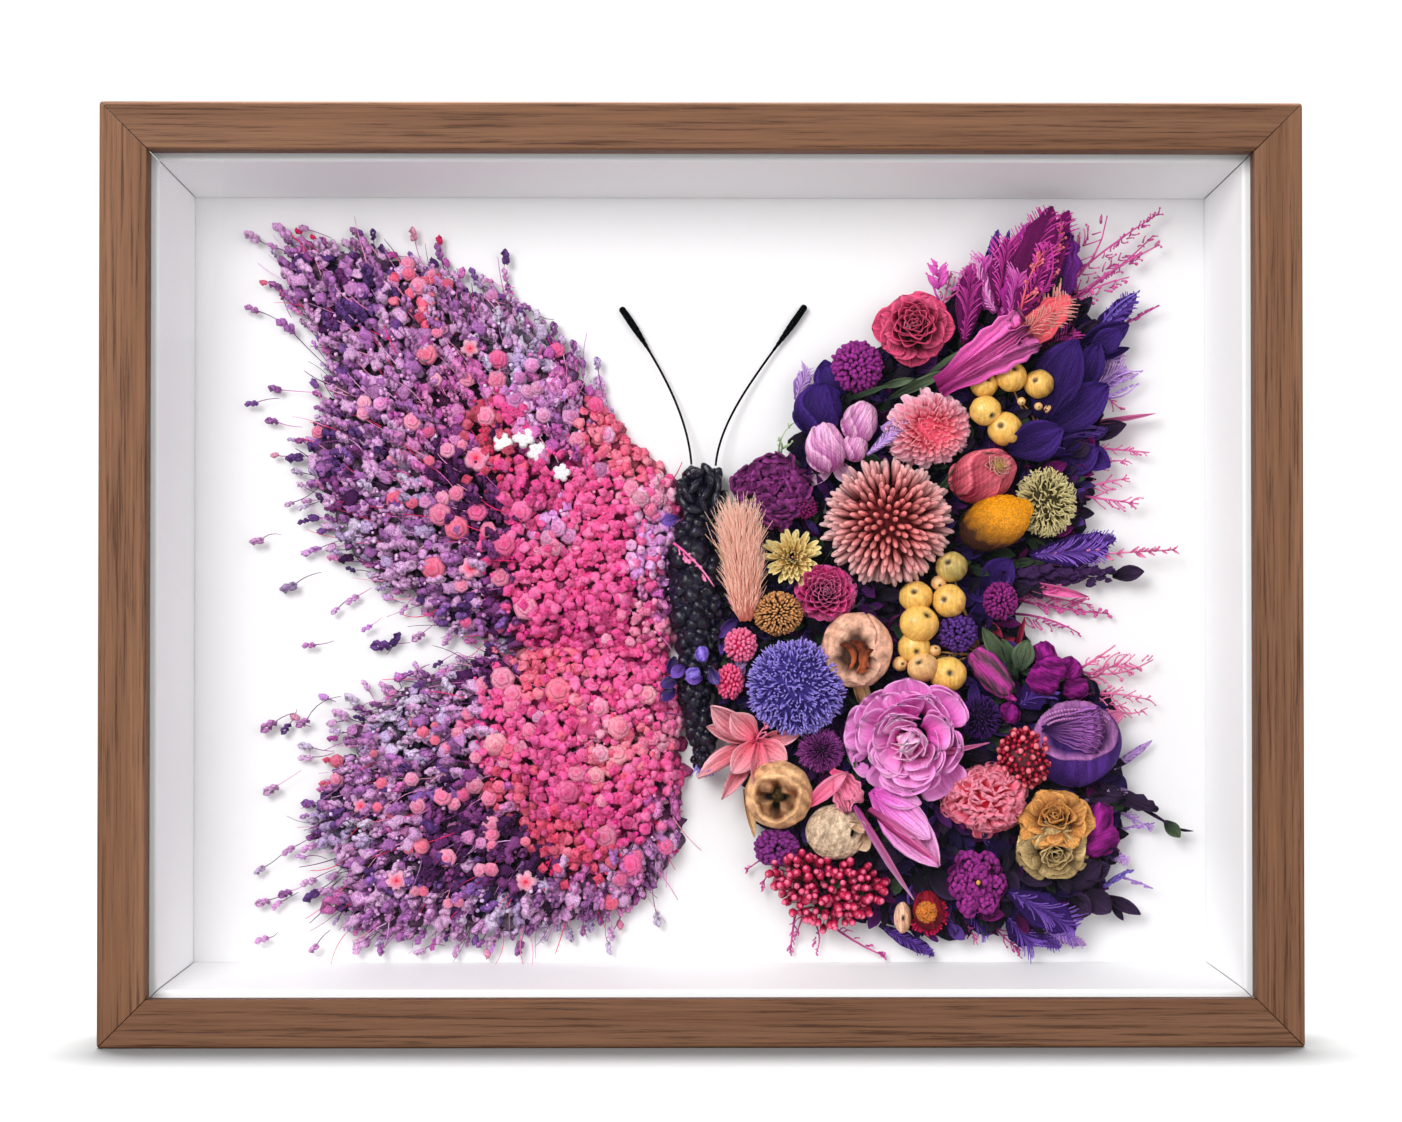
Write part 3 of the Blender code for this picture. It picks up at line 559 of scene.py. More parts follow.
upperLeft = {
    "outline": [
        (-146, 271), (-137, 274), (-127, 271), (-117, 273), (-108, 269), (-98, 267), (-88, 262), (-76, 257),
        (-66, 254), (-54, 243), (-45, 234), (-36, 222), (-27, 209), (-17, 199), (-8, 190), (-7, 176),
        (-8, 160), (-8, 146), (-10, 132), (-30, 130), (-49, 130), (-72, 134), (-88, 141), (-100, 148),
        (-112, 156), (-124, 168), (-130, 178), (-136, 196), (-134, 206), (-131, 217), (-128, 230),
        (-134, 243), (-142, 254)],
    "fan": (-34, 158), "height": 13,
    "patches": [
        (-122, 252, 24, "violet", 1.0), (-128, 258, 14, "plum", 0.9), (-126, 262, 24, "dusk", 1.6),
        (-95, 252, 14, "dusk", 1.2), (-97, 252, 7, "coral", 1.5), (-93, 246, 5, "crimson", 1.2),
        (-103, 240, 14, "dusk", 1.4), (-72, 246, 12, "dusk", 1.3), (-62, 240, 12, "smoke", 1.0),
        (-46, 226, 10, "mauve", 1.2), (-110, 228, 16, "dusk", 1.3), (-118, 218, 18, "dusk", 1.6),
        (-125, 204, 14, "violet", 1.2), (-115, 196, 18, "dusk", 1.5), (-122, 186, 12, "plum", 0.9),
        (-112, 178, 18, "smoke", 1.0), (-104, 166, 20, "dusk", 1.4), (-92, 152, 18, "dusk", 1.4),
        (-84, 144, 12, "violet", 1.0), (-70, 146, 10, "plum", 1.0), (-92, 220, 12, "mauve", 1.2),
        (-96, 206, 12, "mauve", 1.0), (-84, 196, 12, "plum", 0.9), (-78, 178, 12, "plum", 1.0),
        (-76, 210, 6, "crimson", 1.6), (-70, 213, 5, "magenta", 1.2), (-68, 196, 7, "crimson", 1.4),
        (-60, 192, 8, "magenta", 1.5), (-52, 200, 8, "mauve", 1.0), (-48, 214, 8, "dusk", 0.9),
        (-54, 222, 8, "lilac", 0.8), (-58, 184, 10, "magenta", 1.4), (-50, 178, 8, "lilac", 1.3),
        (-42, 190, 10, "hotPink", 1.6), (-30, 206, 8, "coral", 2.2), (-22, 196, 7, "coral", 1.8),
        (-27, 188, 8, "rose", 1.3), (-30, 178, 14, "hotPink", 2.0), (-17, 186, 5, "pale", 1.6),
        (-16, 172, 6, "lilac", 2.2), (-20, 164, 7, "lilac", 2.0), (-14, 152, 6, "mauve", 1.5),
        (-38, 164, 16, "hotPink", 2.2), (-50, 156, 14, "hotPink", 1.8), (-34, 146, 16, "magenta", 1.8),
        (-54, 142, 12, "magenta", 1.0), (-66, 164, 8, "magenta", 0.9), (-22, 142, 10, "rose", 1.5),
        (-46, 168, 8, "rose", 1.2)],
    "accents": [
        (-90.6, 241.4, 2.1, "rose"), (-94.2, 233.6, 3.6, "coral"), (-79.3, 235.7, 2.9, "redEye"),
        (-70.0, 232.1, 3.4, "hotPink"), (-58.2, 230.1, 2.6, "lilac"), (-62.3, 225.9, 2.2, "lilac"),
        (-63.9, 218.2, 3.2, "lilac"), (-59.7, 221.1, 2.5, "lilac"), (-56.2, 222.3, 2.5, "lilac"),
        (-80.3, 225.4, 2.8, "rose"), (-70.0, 224.9, 3.1, "rose"), (-91.3, 224.9, 2.4, "pale"),
        (-115.7, 217.2, 2.6, "pale"), (-115.9, 213.4, 2.4, "pale"), (-74.1, 212.5, 3.4, "rose"),
        (-54.1, 212.8, 2.7, "lilac"), (-44.8, 212.6, 3.1, "lilac"), (-87.0, 200.7, 2.7, "pale"),
        (-82.3, 202.8, 2.4, "rose"), (-77.2, 198.1, 4.6, "square"), (-104.9, 198.4, 2.7, "redEye"),
        (-93.1, 197.1, 1.8, "coral"), (-68.0, 203.3, 3.2, "white"), (-60.8, 205.3, 3.6, "white"),
        (-56.1, 200.2, 3.4, "white"), (-47.9, 193.0, 2.9, "white"), (-104.9, 183.7, 3.2, "coral"),
        (-99.2, 182.7, 2.1, "coral"), (-94.6, 183.2, 2.4, "lilac"), (-89.0, 184.2, 2.8, "pale"),
        (-83.9, 185.8, 2.7, "rose"), (-89.5, 178.6, 3.8, "rose"), (-83.8, 174.0, 4.1, "coral"),
        (-76.7, 179.6, 3.4, "hotPink"), (-73.1, 173.4, 2.8, "rose"), (-67.4, 168.3, 3.8, "hotPink"),
        (-92.0, 160.1, 4.1, "coral"), (-79.2, 160.1, 3.5, "redEye"), (-68.9, 157.0, 3.2, "rose"),
        (-82.3, 154.4, 2.4, "rose"), (-60.2, 146.7, 4.1, "rose"), (-81.2, 142.1, 2.1, "hotPink"),
        (-88.6, 242.4, 1.8, "rose"), (-50.0, 236.3, 2.8, "hotPink"), (-97.3, 257.3, 3.1, "rose"),
        (-101.9, 266.1, 2.8, "rose"), (-93.7, 262.5, 2.1, "rose"), (-100.9, 262.0, 2.4, "coral"),
        (-88.1, 258.9, 2.4, "coral"), (-72.6, 255.3, 2.4, "lilac"), (-98.8, 210.5, 3.1, "rose"),
        (-93.6, 207.4, 2.4, "hotPink"), (-32.5, 206.4, 3.0, "lilac"), (-36.6, 216.7, 3.2, "hotPink"),
        (-34.5, 194.0, 2.7, "lilac"), (-42.3, 204.3, 3.1, "rose"), (-67.4, 185.3, 2.1, "rose"),
        (-61.8, 179.6, 3.8, "hotPink"), (-110.1, 216.6, 2.4, "lilac"), (-132.7, 207.9, 2.4, "rose"),
        (-49.0, 174.0, 3.0, "lilac"), (-45.5, 171.4, 2.8, "lilac"), (-52.6, 170.6, 2.8, "lilac"),
        (-49.8, 167.0, 2.6, "pale"), (-24.0, 188.0, 2.8, "rose"), (-20.6, 184.2, 3.0, "pale"),
        (-15.4, 184.6, 2.8, "pale"), (-17.4, 180.6, 2.4, "rose")],
    "sprigs": [
        (-156, 276, 3.5, -25, 4, "dusk"), (-145, 278, 4.9, -38, 10, "dusk"),
        (-156, 251, 3.1, -25, 8, "dusk"), (-144, 245, 4.5, -45, 17, "dusk"),
        (-156, 218, 2.8, 10, 7, "violet"), (-148, 223, 2.8, -5, 10, "dusk"),
        (-149, 212, 2.8, -12, 8, "dusk"), (-148, 200, 1.4, 0, 5, "rose"), (-141, 199, 3.5, 10, 5, "violet"),
        (-143, 183, 2.1, 30, 10, "dusk"), (-138, 182, 2.4, 20, 5, "smoke"),
        (-138, 177, 2.4, 10, 5, "violet"), (-154, 170, 2.8, 15, 6, "dusk"),
        (-134, 167, 2.8, 20, 7, "lilac"), (-137, 166, 1.7, 10, 3, "lilac"), (-123, 164, 3.1, 20, 5, "plum"),
        (-143, 154, 3.5, 25, 9, "smoke"), (-127, 146, 2.1, 40, 5, "lilac"), (-121, 150, 3.1, 30, 5, "dusk"),
        (-116, 140, 2.4, 35, 4, "lilac"), (-136, 134, 2.8, 10, 6, "dusk"),
        (-148, 259, 2.8, -15, 10, "dusk"), (-152, 260, 1.4, -15, 3, "coral"),
        (-140, 278, 1.4, -40, 5, "crimson"), (-135, 276, 1.2, -50, 7, "crimson"),
        (-131, 274, 2.8, -50, 7, "mauve"), (-141, 259, 3.1, -35, 7, "dusk"),
        (-142, 254, 3.1, -35, 8, "dusk"), (-138, 270, 3.1, -45, 8, "mauve"),
        (-118, 276, 3.5, -70, 8, "violet"), (-114, 277, 2.4, -80, 7, "violet"),
        (-111, 271, 2.8, -75, 6, "violet"), (-91, 271, 3.5, -70, 9, "dusk"),
        (-91, 275, 1.7, -80, 3, "crimson"), (-100, 277, 2.8, -70, 12, "rose"),
        (-79, 263, 3.1, -60, 6, "violet"), (-68, 269, 3.1, -85, 6, "violet"),
        (-68, 263, 2.8, -85, 4, "dusk"), (-67, 258, 2.4, -85, 4, "dusk"), (-44, 238, 2.8, -70, 8, "dusk"),
        (-36, 232, 2.8, -80, 9, "smoke"), (-34, 224, 2.1, -90, 5, "dusk"), (-51, 244, 3.1, -90, 7, "dusk"),
        (-60, 245, 1.7, -60, 4, "mauve"), (-73, 257, 2.8, -80, 5, "lilac"),
        (-129, 190, 2.8, -10, 5, "dusk"), (-139, 205, 2.4, 0, 5, "mauve"), (-111, 134, 4.2, 5, 6, "violet"),
        (-106, 136, 3.1, -120, 3, "violet"), (-98, 137, 3.1, 35, 6, "dusk"), (-88, 136, 2.8, 60, 5, "dusk"),
        (-87, 139, 2.1, 60, 5, "lilac")]}

lowerLeft = {
    "outline": [
        (-104, 119), (-96, 124), (-86, 126), (-76, 132), (-62, 135), (-49, 136), (-21, 136), (-6, 128),
        (-6, 108), (-8, 98), (-5, 88), (-8, 78), (-7, 66), (-16, 52), (-26, 42), (-36, 39), (-52, 36),
        (-66, 34), (-80, 33), (-96, 32), (-110, 33), (-122, 35), (-128, 44), (-124, 56), (-131, 66),
        (-134, 76), (-128, 86), (-124, 96), (-121, 106), (-113, 113)],
    "fan": (-26, 112), "height": 13,
    "patches": [
        (-104, 108, 16, "smoke", 1.8), (-88, 118, 14, "dusk", 1.2), (-116, 98, 16, "dusk", 1.5),
        (-76, 127, 8, "plum", 1.3), (-98, 98, 14, "dusk", 1.2), (-84, 108, 14, "dusk", 1.1),
        (-112, 84, 18, "dusk", 1.6), (-96, 86, 12, "violet", 1.0), (-84, 74, 14, "plum", 1.1),
        (-126, 78, 9, "violet", 1.2), (-122, 70, 10, "smoke", 1.2), (-108, 66, 16, "dusk", 1.3),
        (-116, 52, 16, "dusk", 1.5), (-100, 54, 12, "violet", 1.0), (-88, 58, 12, "plum", 1.2),
        (-76, 50, 14, "violet", 1.1), (-104, 40, 16, "dusk", 1.4), (-84, 38, 14, "dusk", 1.4),
        (-66, 40, 14, "smoke", 1.2), (-48, 42, 14, "dusk", 1.2), (-34, 48, 10, "dusk", 1.0),
        (-22, 60, 8, "dusk", 0.9), (-108, 88, 10, "mauve", 0.8), (-96, 74, 12, "mauve", 0.8),
        (-62, 60, 12, "plum", 1.1), (-72, 62, 10, "plum", 1.1), (-50, 70, 10, "crimson", 1.3),
        (-44, 62, 10, "crimson", 1.2), (-40, 52, 8, "mauve", 1.2), (-36, 62, 6, "crimson", 1.2),
        (-70, 84, 8, "mauve", 1.0), (-66, 86, 7, "crimson", 1.4), (-74, 104, 7, "magenta", 1.0),
        (-70, 112, 9, "hotPink", 1.4), (-66, 100, 9, "hotPink", 1.6), (-58, 108, 8, "magenta", 1.4),
        (-54, 96, 10, "magenta", 1.5), (-52, 84, 9, "magenta", 1.8), (-44, 88, 8, "hotPink", 1.6),
        (-40, 78, 10, "magenta", 1.6), (-48, 122, 12, "coral", 1.6), (-40, 126, 12, "hotPink", 1.8),
        (-28, 122, 12, "hotPink", 1.8), (-40, 112, 10, "hotPink", 1.5), (-30, 106, 9, "rose", 1.0),
        (-30, 92, 8, "coral", 1.6), (-24, 100, 9, "coral", 1.1), (-20, 112, 8, "hotPink", 1.8),
        (-16, 104, 7, "rose", 1.3), (-22, 86, 9, "hotPink", 1.8), (-12, 92, 6, "hotPink", 1.4),
        (-14, 78, 6, "mauve", 1.4), (-28, 74, 10, "magenta", 1.5), (-16, 68, 7, "dusk", 1.2),
        (-24, 52, 7, "mauve", 1.2)],
    "accents": [
        (-68.2, 122.2, 4.1, "rose"), (-75.1, 120.6, 2.3, "rose"), (-64.4, 117.2, 3.2, "rose"),
        (-64.8, 112.8, 3.0, "rose"), (-79.9, 110.4, 2.3, "rose"), (-98.6, 107.0, 1.8, "coral"),
        (-95.4, 104.0, 2.2, "coral"), (-91.2, 106.1, 1.5, "coral"), (-91.1, 101.3, 1.8, "coral"),
        (-83.7, 103.4, 2.3, "rose"), (-86.9, 98.6, 2.2, "rose"), (-77.2, 95.4, 2.1, "rose"),
        (-70.3, 99.7, 4.2, "peach"), (-66.2, 98.0, 3.2, "coral"), (-62.3, 98.6, 2.8, "rose"),
        (-59.1, 104.5, 2.8, "rose"), (-67.6, 93.8, 2.2, "rose"), (-99.1, 87.9, 2.5, "pale"),
        (-109.3, 86.3, 2.2, "coral"), (-116.8, 78.6, 2.5, "redEye"), (-97.0, 78.6, 2.8, "rose"),
        (-77.8, 85.8, 3.2, "rose"), (-88.4, 82.1, 3.2, "rose"), (-84.7, 79.4, 2.3, "rose"),
        (-81.5, 82.6, 2.5, "hotPink"), (-72.4, 81.5, 2.8, "rose"), (-69.2, 85.3, 2.2, "coral"),
        (-62.3, 81.5, 2.2, "coral"), (-62.3, 84.7, 2.2, "coral"), (-106.1, 76.2, 1.8, "coral"),
        (-71.9, 72.4, 3.1, "rose"), (-71.9, 69.2, 2.9, "rose"), (-75.6, 66.0, 2.2, "lilac"),
        (-71.9, 65.0, 2.2, "rose"), (-95.6, 65.0, 2.8, "coral"), (-100.2, 63.9, 1.8, "coral"),
        (-87.0, 60.9, 3.2, "rose"), (-75.6, 56.6, 2.5, "pale"), (-71.9, 56.9, 2.5, "rose"),
        (-60.1, 52.7, 3.5, "redEye"), (-104.4, 53.2, 3.5, "redEye"), (-98.0, 49.5, 1.8, "rose"),
        (-95.1, 49.5, 1.8, "coral"), (-86.8, 45.2, 1.8, "rose"), (-83.1, 45.7, 1.8, "rose"),
        (-32.8, 68.1, 3.8, "rose"), (-24.3, 58.5, 4.0, "hotPink"), (-28.0, 53.9, 2.8, "hotPink"),
        (-31.2, 45.2, 2.8, "coral"), (-45.7, 67.1, 1.8, "coral"), (-45.7, 62.8, 1.8, "coral"),
        (-60.1, 66.5, 1.8, "coral"), (-36.1, 89.0, 3.1, "peach"), (-28.6, 96.5, 3.8, "peach"),
        (-34.5, 96.5, 3.1, "pale"), (-28.0, 105.6, 4.1, "peach"), (-38.7, 106.6, 4.6, "cup"),
        (-35.0, 112.5, 3.4, "rose"), (-43.6, 115.2, 1.8, "pale"), (-18.4, 116.8, 3.2, "peach"),
        (-48.9, 118.4, 4.6, "coral"), (-16.8, 101.8, 2.5, "rose"), (-33.9, 80.4, 2.2, "rose"),
        (-42.5, 90.1, 3.1, "rose"), (-45.7, 83.6, 4.0, "hotPink"), (-126.0, 93.8, 2.4, "coral"),
        (-112.5, 96.5, 1.5, "coral"), (-106.6, 96.0, 1.5, "coral"), (-55.9, 109.3, 2.2, "lilac"),
        (-125.8, 87.4, 2.6, "rose"), (-110.9, 78.3, 1.8, "coral"), (-12.5, 64.4, 3.1, "hotPink"),
        (-22.1, 61.2, 2.4, "hotPink")],
    "sprigs": [
        (-150, 106, 3.8, 25, 7, "dusk"), (-144, 105, 2.8, 60, 5, "violet"),
        (-138, 107, 3.1, 35, 13, "dusk"), (-131, 116, 1.7, -20, 3, "lilac"),
        (-141, 109, 1.7, -30, 5, "rose"), (-137, 99, 3.1, -10, 7, "smoke"), (-137, 95, 3.1, 10, 7, "lilac"),
        (-149, 84, 3.5, 32, 9, "dusk"), (-136, 79, 3.1, 0, 5, "violet"), (-132, 75, 3.5, 0, 5, "smoke"),
        (-153, 56, 2.4, 35, 7, "smoke"), (-143, 63, 3.1, 30, 7, "dusk"), (-136, 64, 3.5, 20, 7, "dusk"),
        (-133, 68, 3.1, 10, 5, "plum"), (-152, 45, 3.1, 20, 6, "dusk"), (-147, 44, 2.8, 30, 6, "dusk"),
        (-144, 48, 3.1, 25, 7, "dusk"), (-136, 52, 3.5, 25, 7, "dusk"), (-135, 47, 3.5, 30, 7, "violet"),
        (-126, 45, 6.9, 30, 5, "mauve"), (-152, 32, 3.1, 25, 3, "dusk"), (-134, 29, 2.4, 48, 6, "dusk"),
        (-122, 37, 2.8, 55, 10, "dusk"), (-118, 30, 4.5, 40, 10, "dusk"), (-110, 33, 3.5, 40, 7, "dusk"),
        (-103, 34, 3.5, 55, 6, "dusk"), (-97, 33, 3.5, 60, 6, "dusk"), (-90, 33, 3.1, 70, 6, "dusk"),
        (-85, 28, 2.8, 62, 9, "dusk"), (-74, 27, 1.7, 90, 3, "rose"), (-72, 32, 3.5, 40, 9, "dusk"),
        (-63, 29, 3.1, 65, 9, "dusk"), (-54, 34, 3.5, 80, 6, "smoke"), (-45, 33, 2.4, 95, 6, "smoke"),
        (-38, 37, 3.1, 90, 5, "smoke"), (-32, 29, 2.8, 95, 7, "smoke"), (-31, 34, 2.8, 100, 8, "dusk"),
        (-15, 39, 3.1, 98, 9, "smoke"), (-28, 37, 1.7, 100, 6, "rose"), (-26, 46, 3.1, 110, 5, "smoke"),
        (-21, 49, 3.1, 120, 5, "dusk"), (-17, 53, 2.4, 140, 5, "dusk"), (-116, 120, 2.8, -60, 5, "dusk"),
        (-110, 119, 3.1, -70, 5, "dusk"), (-125, 110, 3.5, -20, 5, "dusk"),
        (-121, 115, 3.5, -30, 5, "smoke"), (-105, 123, 1.7, -70, 3, "lilac"),
        (-98, 123, 3.1, -75, 5, "dusk"), (-99, 127, 1.4, -75, 2, "lilac"), (-129, 94, 2.4, 10, 5, "coral"),
        (-130, 86, 2.8, 0, 5, "coral"), (-16, 73, 2.1, 170, 4, "crimson"),
        (-10, 63, 2.8, 160, 6, "hotPink"), (-9, 66, 2.1, 165, 4, "dusk"), (-13, 80, 2.1, 180, 4, "rose"),
        (-88, 125, 2.4, -80, 3, "dusk"), (-83, 128, 2.4, -85, 3, "smoke")]}


def swellAt(wing, x, z):     # how high the heap is over the panel
    gap = edgeGap(wing["outline"], x, z)
    low = wing["height"] * (1 - np.exp(-gap / 7))
    return 1.0 + low + 1.3 * np.sin(x * 0.31 + 1.1) * np.cos(z * 0.27) * np.minimum(gap / 8, 1)


def swellNormal(wing, x, z):
    step = 1.5
    slopeX = (swellAt(wing, x + step, z) - swellAt(wing, x - step, z)) / 2 / step
    slopeZ = (swellAt(wing, x, z + step) - swellAt(wing, x, z - step)) / 2 / step
    return unit(np.stack([-slopeX, -slopeZ, np.ones(len(x))], axis=1))


def patchNames(wing, x, z):     # which colour patch each place falls to, by chance
    strength = np.stack([weight * np.exp(-((x - px) ** 2 + (z - pz) ** 2) / reach ** 2)
                         for px, pz, reach, _, weight in wing["patches"]], axis=1) + 1e-6
    share = np.cumsum(strength ** 1.6, axis=1)
    share = share / share[:, -1:]
    chosen = (dice.random((len(x), 1)) > share).sum(axis=1)
    return np.array([wing["patches"][i][3] for i in chosen])


shapes = {     # closed little meshes that are copied many times
    "ball": ballShape(1), "lump": ballShape(2, 0.13, 3, 0.9), "lumpB": ballShape(2, 0.16, 8, 0.8),
    "crumple": ballShape(2, 0.26, 5, 0.7, 1.25), "crumpleB": ballShape(2, 0.3, 6, 0.6, 1.1),
    "crumpleC": ballShape(2, 0.24, 9, 0.8, 1.4),
    "headA": budHeadShape(1), "headB": budHeadShape(2), "headC": budHeadShape(3, 7, 0.46),
    "sprigHead": budHeadShape(4, 6, 0.3),
    "open": floretShape(5, 0.2, 0.34, 0.25, 4, 4), "open4": floretShape(4, 0.14, 0.34, 0.2, 4, 4),
    "stalk": stalkShape(),
    "leaf": petalShape(0.5, 0.8, 0.9, across=2, along=3, thick=0.05, curl=0.5, cup=0.12)}
shapes["double"] = joinShapes([floretShape(6, 0.12, 0.4, 0.1, 4, 3), floretShape(5, 0.18, 0.5, 0.3, 4, 3)],
                              [(0, 0, 0, 1), (0.05, 0.02, 0.32, 0.6)])
shapes["bubble"] = joinShapes([floretShape(4, 0.2, 0.75, 0.12, 4), floretShape(4, 0.3, 0.6, 0.3, 4)],
                              [(0, 0, 0, 1), (0.03, -0.04, 0.52, 0.52)])

softPetal = tintedMaterial("softPetal", 0.8, 0.2, 1500, 0.66, 1.2, 0.0005)
crumpledPetal = tintedMaterial("crumpledPetal", 0.9, 0.12, 1700, 0.42, 1.3, 0.0009)

pinkish = ("hotPink", "magenta", "rose", "pale", "coral", "crimson", "lilac", "peach")


def buildLeftWing(name, wing, node):
    bedGap, headGap, beadGap, stemGap = 4.2, 3.6, 4.4, 6.5     # mm between neighbours
    innerEdge = -30     # mm; right of it the wing meets the body and has no loose rim
    bed, buds, blooms, stems = [], [], [], []
    up = upward
    x, z = strew(wing["outline"], bedGap)     # a low crumpled bed that fills the heap, coloured near-black as painted shade between the florets
    inside = edgeGap(wing["outline"], x, z) > np.where(x < innerEdge, 3.5, 0)
    x, z = x[inside], z[inside]
    names = patchNames(wing, x, z)
    normals = swellNormal(wing, x, z) + dice.normal(0, 0.2, (len(x), 3))
    lift = swellAt(wing, x, z)
    # the bed takes a fifth or a tenth of each hue: painted shade in the gaps between the florets
    paintedShade = pickHue(names) * np.where(np.isin(names, pinkish), 0.2, 0.1)[:, None]
    spots = np.stack([x, z, lift * 0.5 - 0.5], axis=1)
    tall = facing(normals, dice.random(len(x)) * spinRange) * np.stack([np.full(len(x), 3.4)] * 2
                                                                       + [lift * 0.5], axis=1)[:, None, :]
    addCopies(bed, shapes["lump"], tall, spots, paintedShade, paintedShade * 1.6)
    x, z = strew(wing["outline"], headGap)     # lavender heads and crumpled petals, laid outwards
    kept = dice.random(len(x)) < 0.3 + edgeGap(wing["outline"], x, z) / 8 + (x > innerEdge)
    x, z = x[kept], z[kept]
    names = patchNames(wing, x, z)
    soft = np.isin(names, pinkish)
    normals = swellNormal(wing, x, z)
    lift = swellAt(wing, x, z) + dice.normal(0, 1.3, len(x))
    out = unit(np.stack([x - wing["fan"][0], z - wing["fan"][1], np.zeros(len(x))], axis=1))
    out = unit(out + dice.normal(0, 0.4, out.shape) + normals * 0.3)
    spots = np.stack([x, z, lift.clip(1.5)], axis=1)
    kinds = dice.integers(0, 5, len(x))
    for kind, (form, small, big) in enumerate((("headA", 2.3, 3.3), ("headB", 2.2, 3.2), ("headC", 2.1, 3.0),
                                               ("crumple", 1.7, 2.8), ("crumpleB", 1.5, 2.6))):
        pick = ~soft & (kinds == kind)
        size = dice.uniform(small, big, pick.sum())
        turns = pointing(out[pick], normals[pick]) * size[:, None, None]
        colour = pickHue(names[pick])
        addCopies(buds, shapes[form], turns, spots[pick], colour * 0.26, colour * 1.1, colour * 0.1)
    for gapStep, raised, small, big in ((3.3, 0.2, 1.75, 2.3), (4.2, 1.7, 1.3, 2.05)):     # on the pink
        x, z = strew(wing["outline"], gapStep)
        names = patchNames(wing, x, z)
        soft = np.isin(names, pinkish)
        x, z, names = x[soft], z[soft], names[soft]
        normals = unit(swellNormal(wing, x, z) + dice.normal(0, 0.28, (len(x), 3)))
        lift = swellAt(wing, x, z) + raised + dice.normal(0, 0.7, len(x))
        kinds = dice.integers(0, 5, len(x))
        for kind, form in enumerate(("bubble", "lump", "double", "lumpB", "bubble")):
            pick = kinds == kind
            size = dice.uniform(small, big, pick.sum())
            turns = facing(normals[pick], dice.random(pick.sum()) * spinRange) * size[:, None, None]
            colour = pickHue(names[pick])
            eye = colour * np.array((0.55, 0.2, 0.3))
            addCopies(blooms, shapes[form], turns, np.stack([x[pick], z[pick], lift[pick]], axis=1),
                      colour * np.array((0.45, 0.15, 0.3)), colour * 0.62 + 0.06, eye * 0.4)
    x, z = strew(wing["outline"], beadGap)     # seed-sized beads over everything
    names = patchNames(wing, x, z)
    lift = swellAt(wing, x, z) + dice.uniform(0.6, 2.2, len(x))
    size = dice.uniform(0.5, 0.95, len(x))
    colour = pickHue(names)
    addCopies(blooms, shapes["ball"], sized(size), np.stack([x, z, lift], axis=1),
              colour * 0.4, colour * 0.9)
    for ax, az, radius, kind in wing["accents"]:     # open florets placed one by one
        place = np.array([[ax, az, float(swellAt(wing, np.array([ax]), np.array([az]))[0]) + 2.2]])
        normal = unit(up + dice.normal(0, 0.16, 3))[None]
        spin = dice.random(1) * spinRange
        tone = {"redEye": "pale", "square": "pale", "white": "white", "cup": "magenta"}.get(kind, kind)
        rim = pickHue([tone])
        rim = rim * 0.74 if kind == "white" else rim * 0.4 + paint(250, 190, 212) * 0.14
        deep = rim * (0.7 if kind == "white" else np.array((0.7, 0.26, 0.42)))
        eye = paint(190, 30, 60) if kind in ("redEye", "square") else rim * (0.85 if kind == "white"
                                                                             else np.array((0.7, 0.25, 0.4)))
        form = "open4" if kind in ("square", "cup") else ("open" if kind in ("redEye", "white") else "double")
        addCopies(blooms, shapes[form], facing(normal, spin) * radius * 0.98, place, deep, rim, eye)
        if kind in ("redEye", "square"):
            addCopies(blooms, shapes["ball"], np.eye(3)[None] * radius * 0.16, place + (0, 0, radius * 0.12),
                      eye, eye)
    x, z = strew(wing["outline"], stemGap)     # thin stems and wisps that run outwards
    names = patchNames(wing, x, z)
    keep = ~np.isin(names, pinkish) | (dice.random(len(x)) < 0.12)
    x, z = x[keep], z[keep]
    out = unit(np.stack([x - wing["fan"][0], z - wing["fan"][1]], axis=1))
    side = dice.normal(0, 0.3, len(x))[:, None] * np.stack([-out[:, 1], out[:, 0]], axis=1)
    length = dice.uniform(7, 17, len(x))[:, None]
    ends = np.stack([x, z], axis=1) + (out + side) * length
    lift = swellAt(wing, x, z) + dice.uniform(0.8, 2.4, len(x))
    endLift = np.where(isInside(wing["outline"], ends[:, 0], ends[:, 1]),
                       swellAt(wing, ends[:, 0], ends[:, 1]) + 1.6, 3.0)
    colour = pickHue(dice.choice(["mauve", "crimson", "plum", "rose", "plum", "dusk"], len(x)))
    addStalks(stems, shapes["stalk"], np.column_stack([x, z, lift]), np.column_stack([ends, endLift]),
              dice.uniform(0.13, 0.26, len(x)), dice.normal(0, 0.05, len(x)), colour * 0.7, colour)
    sprigs = list(wing["sprigs"])     # round the edge: x, z, half length, stem's way and length, hue
    ends = wing["outline"][1:] + wing["outline"][:1]
    for (x0, z0), (x1, z1) in zip(wing["outline"], ends):
        for part in np.arange(dice.random() * 0.5, 1, 2.5 / math.hypot(x1 - x0, z1 - z0)):
            px, pz = x0 + (x1 - x0) * part, z0 + (z1 - z0) * part
            if px > innerEdge:
                continue
            way = np.array((px - wing["fan"][0], pz - wing["fan"][1]))
            way = way / np.hypot(*way)
            reach = dice.uniform(-3.5, 6) * (1 if dice.random() < 0.8 else 1.6)
            angle = math.degrees(math.atan2(-way[1], -way[0])) + dice.normal(0, 22)
            hue = dice.choice(["dusk", "dusk", "smoke", "lilac", "mauve", "violet"])
            sprigs.append((px + way[0] * reach, pz + way[1] * reach, dice.uniform(1.6, 2.9), angle,
                           dice.uniform(4, 9), hue))
    for px, pz, half, angle, stem, hue in sprigs:
        way = np.array((math.cos(math.radians(angle)), math.sin(math.radians(angle)), 0.0))
        lift = 2.6 + dice.uniform(0, 1.2) + 0.6 * float(swellAt(wing, np.array([px]), np.array([pz]))[0]
                                                        - 1) * float(isInside(wing["outline"], np.array([px]),
                                                                              np.array([pz]))[0])
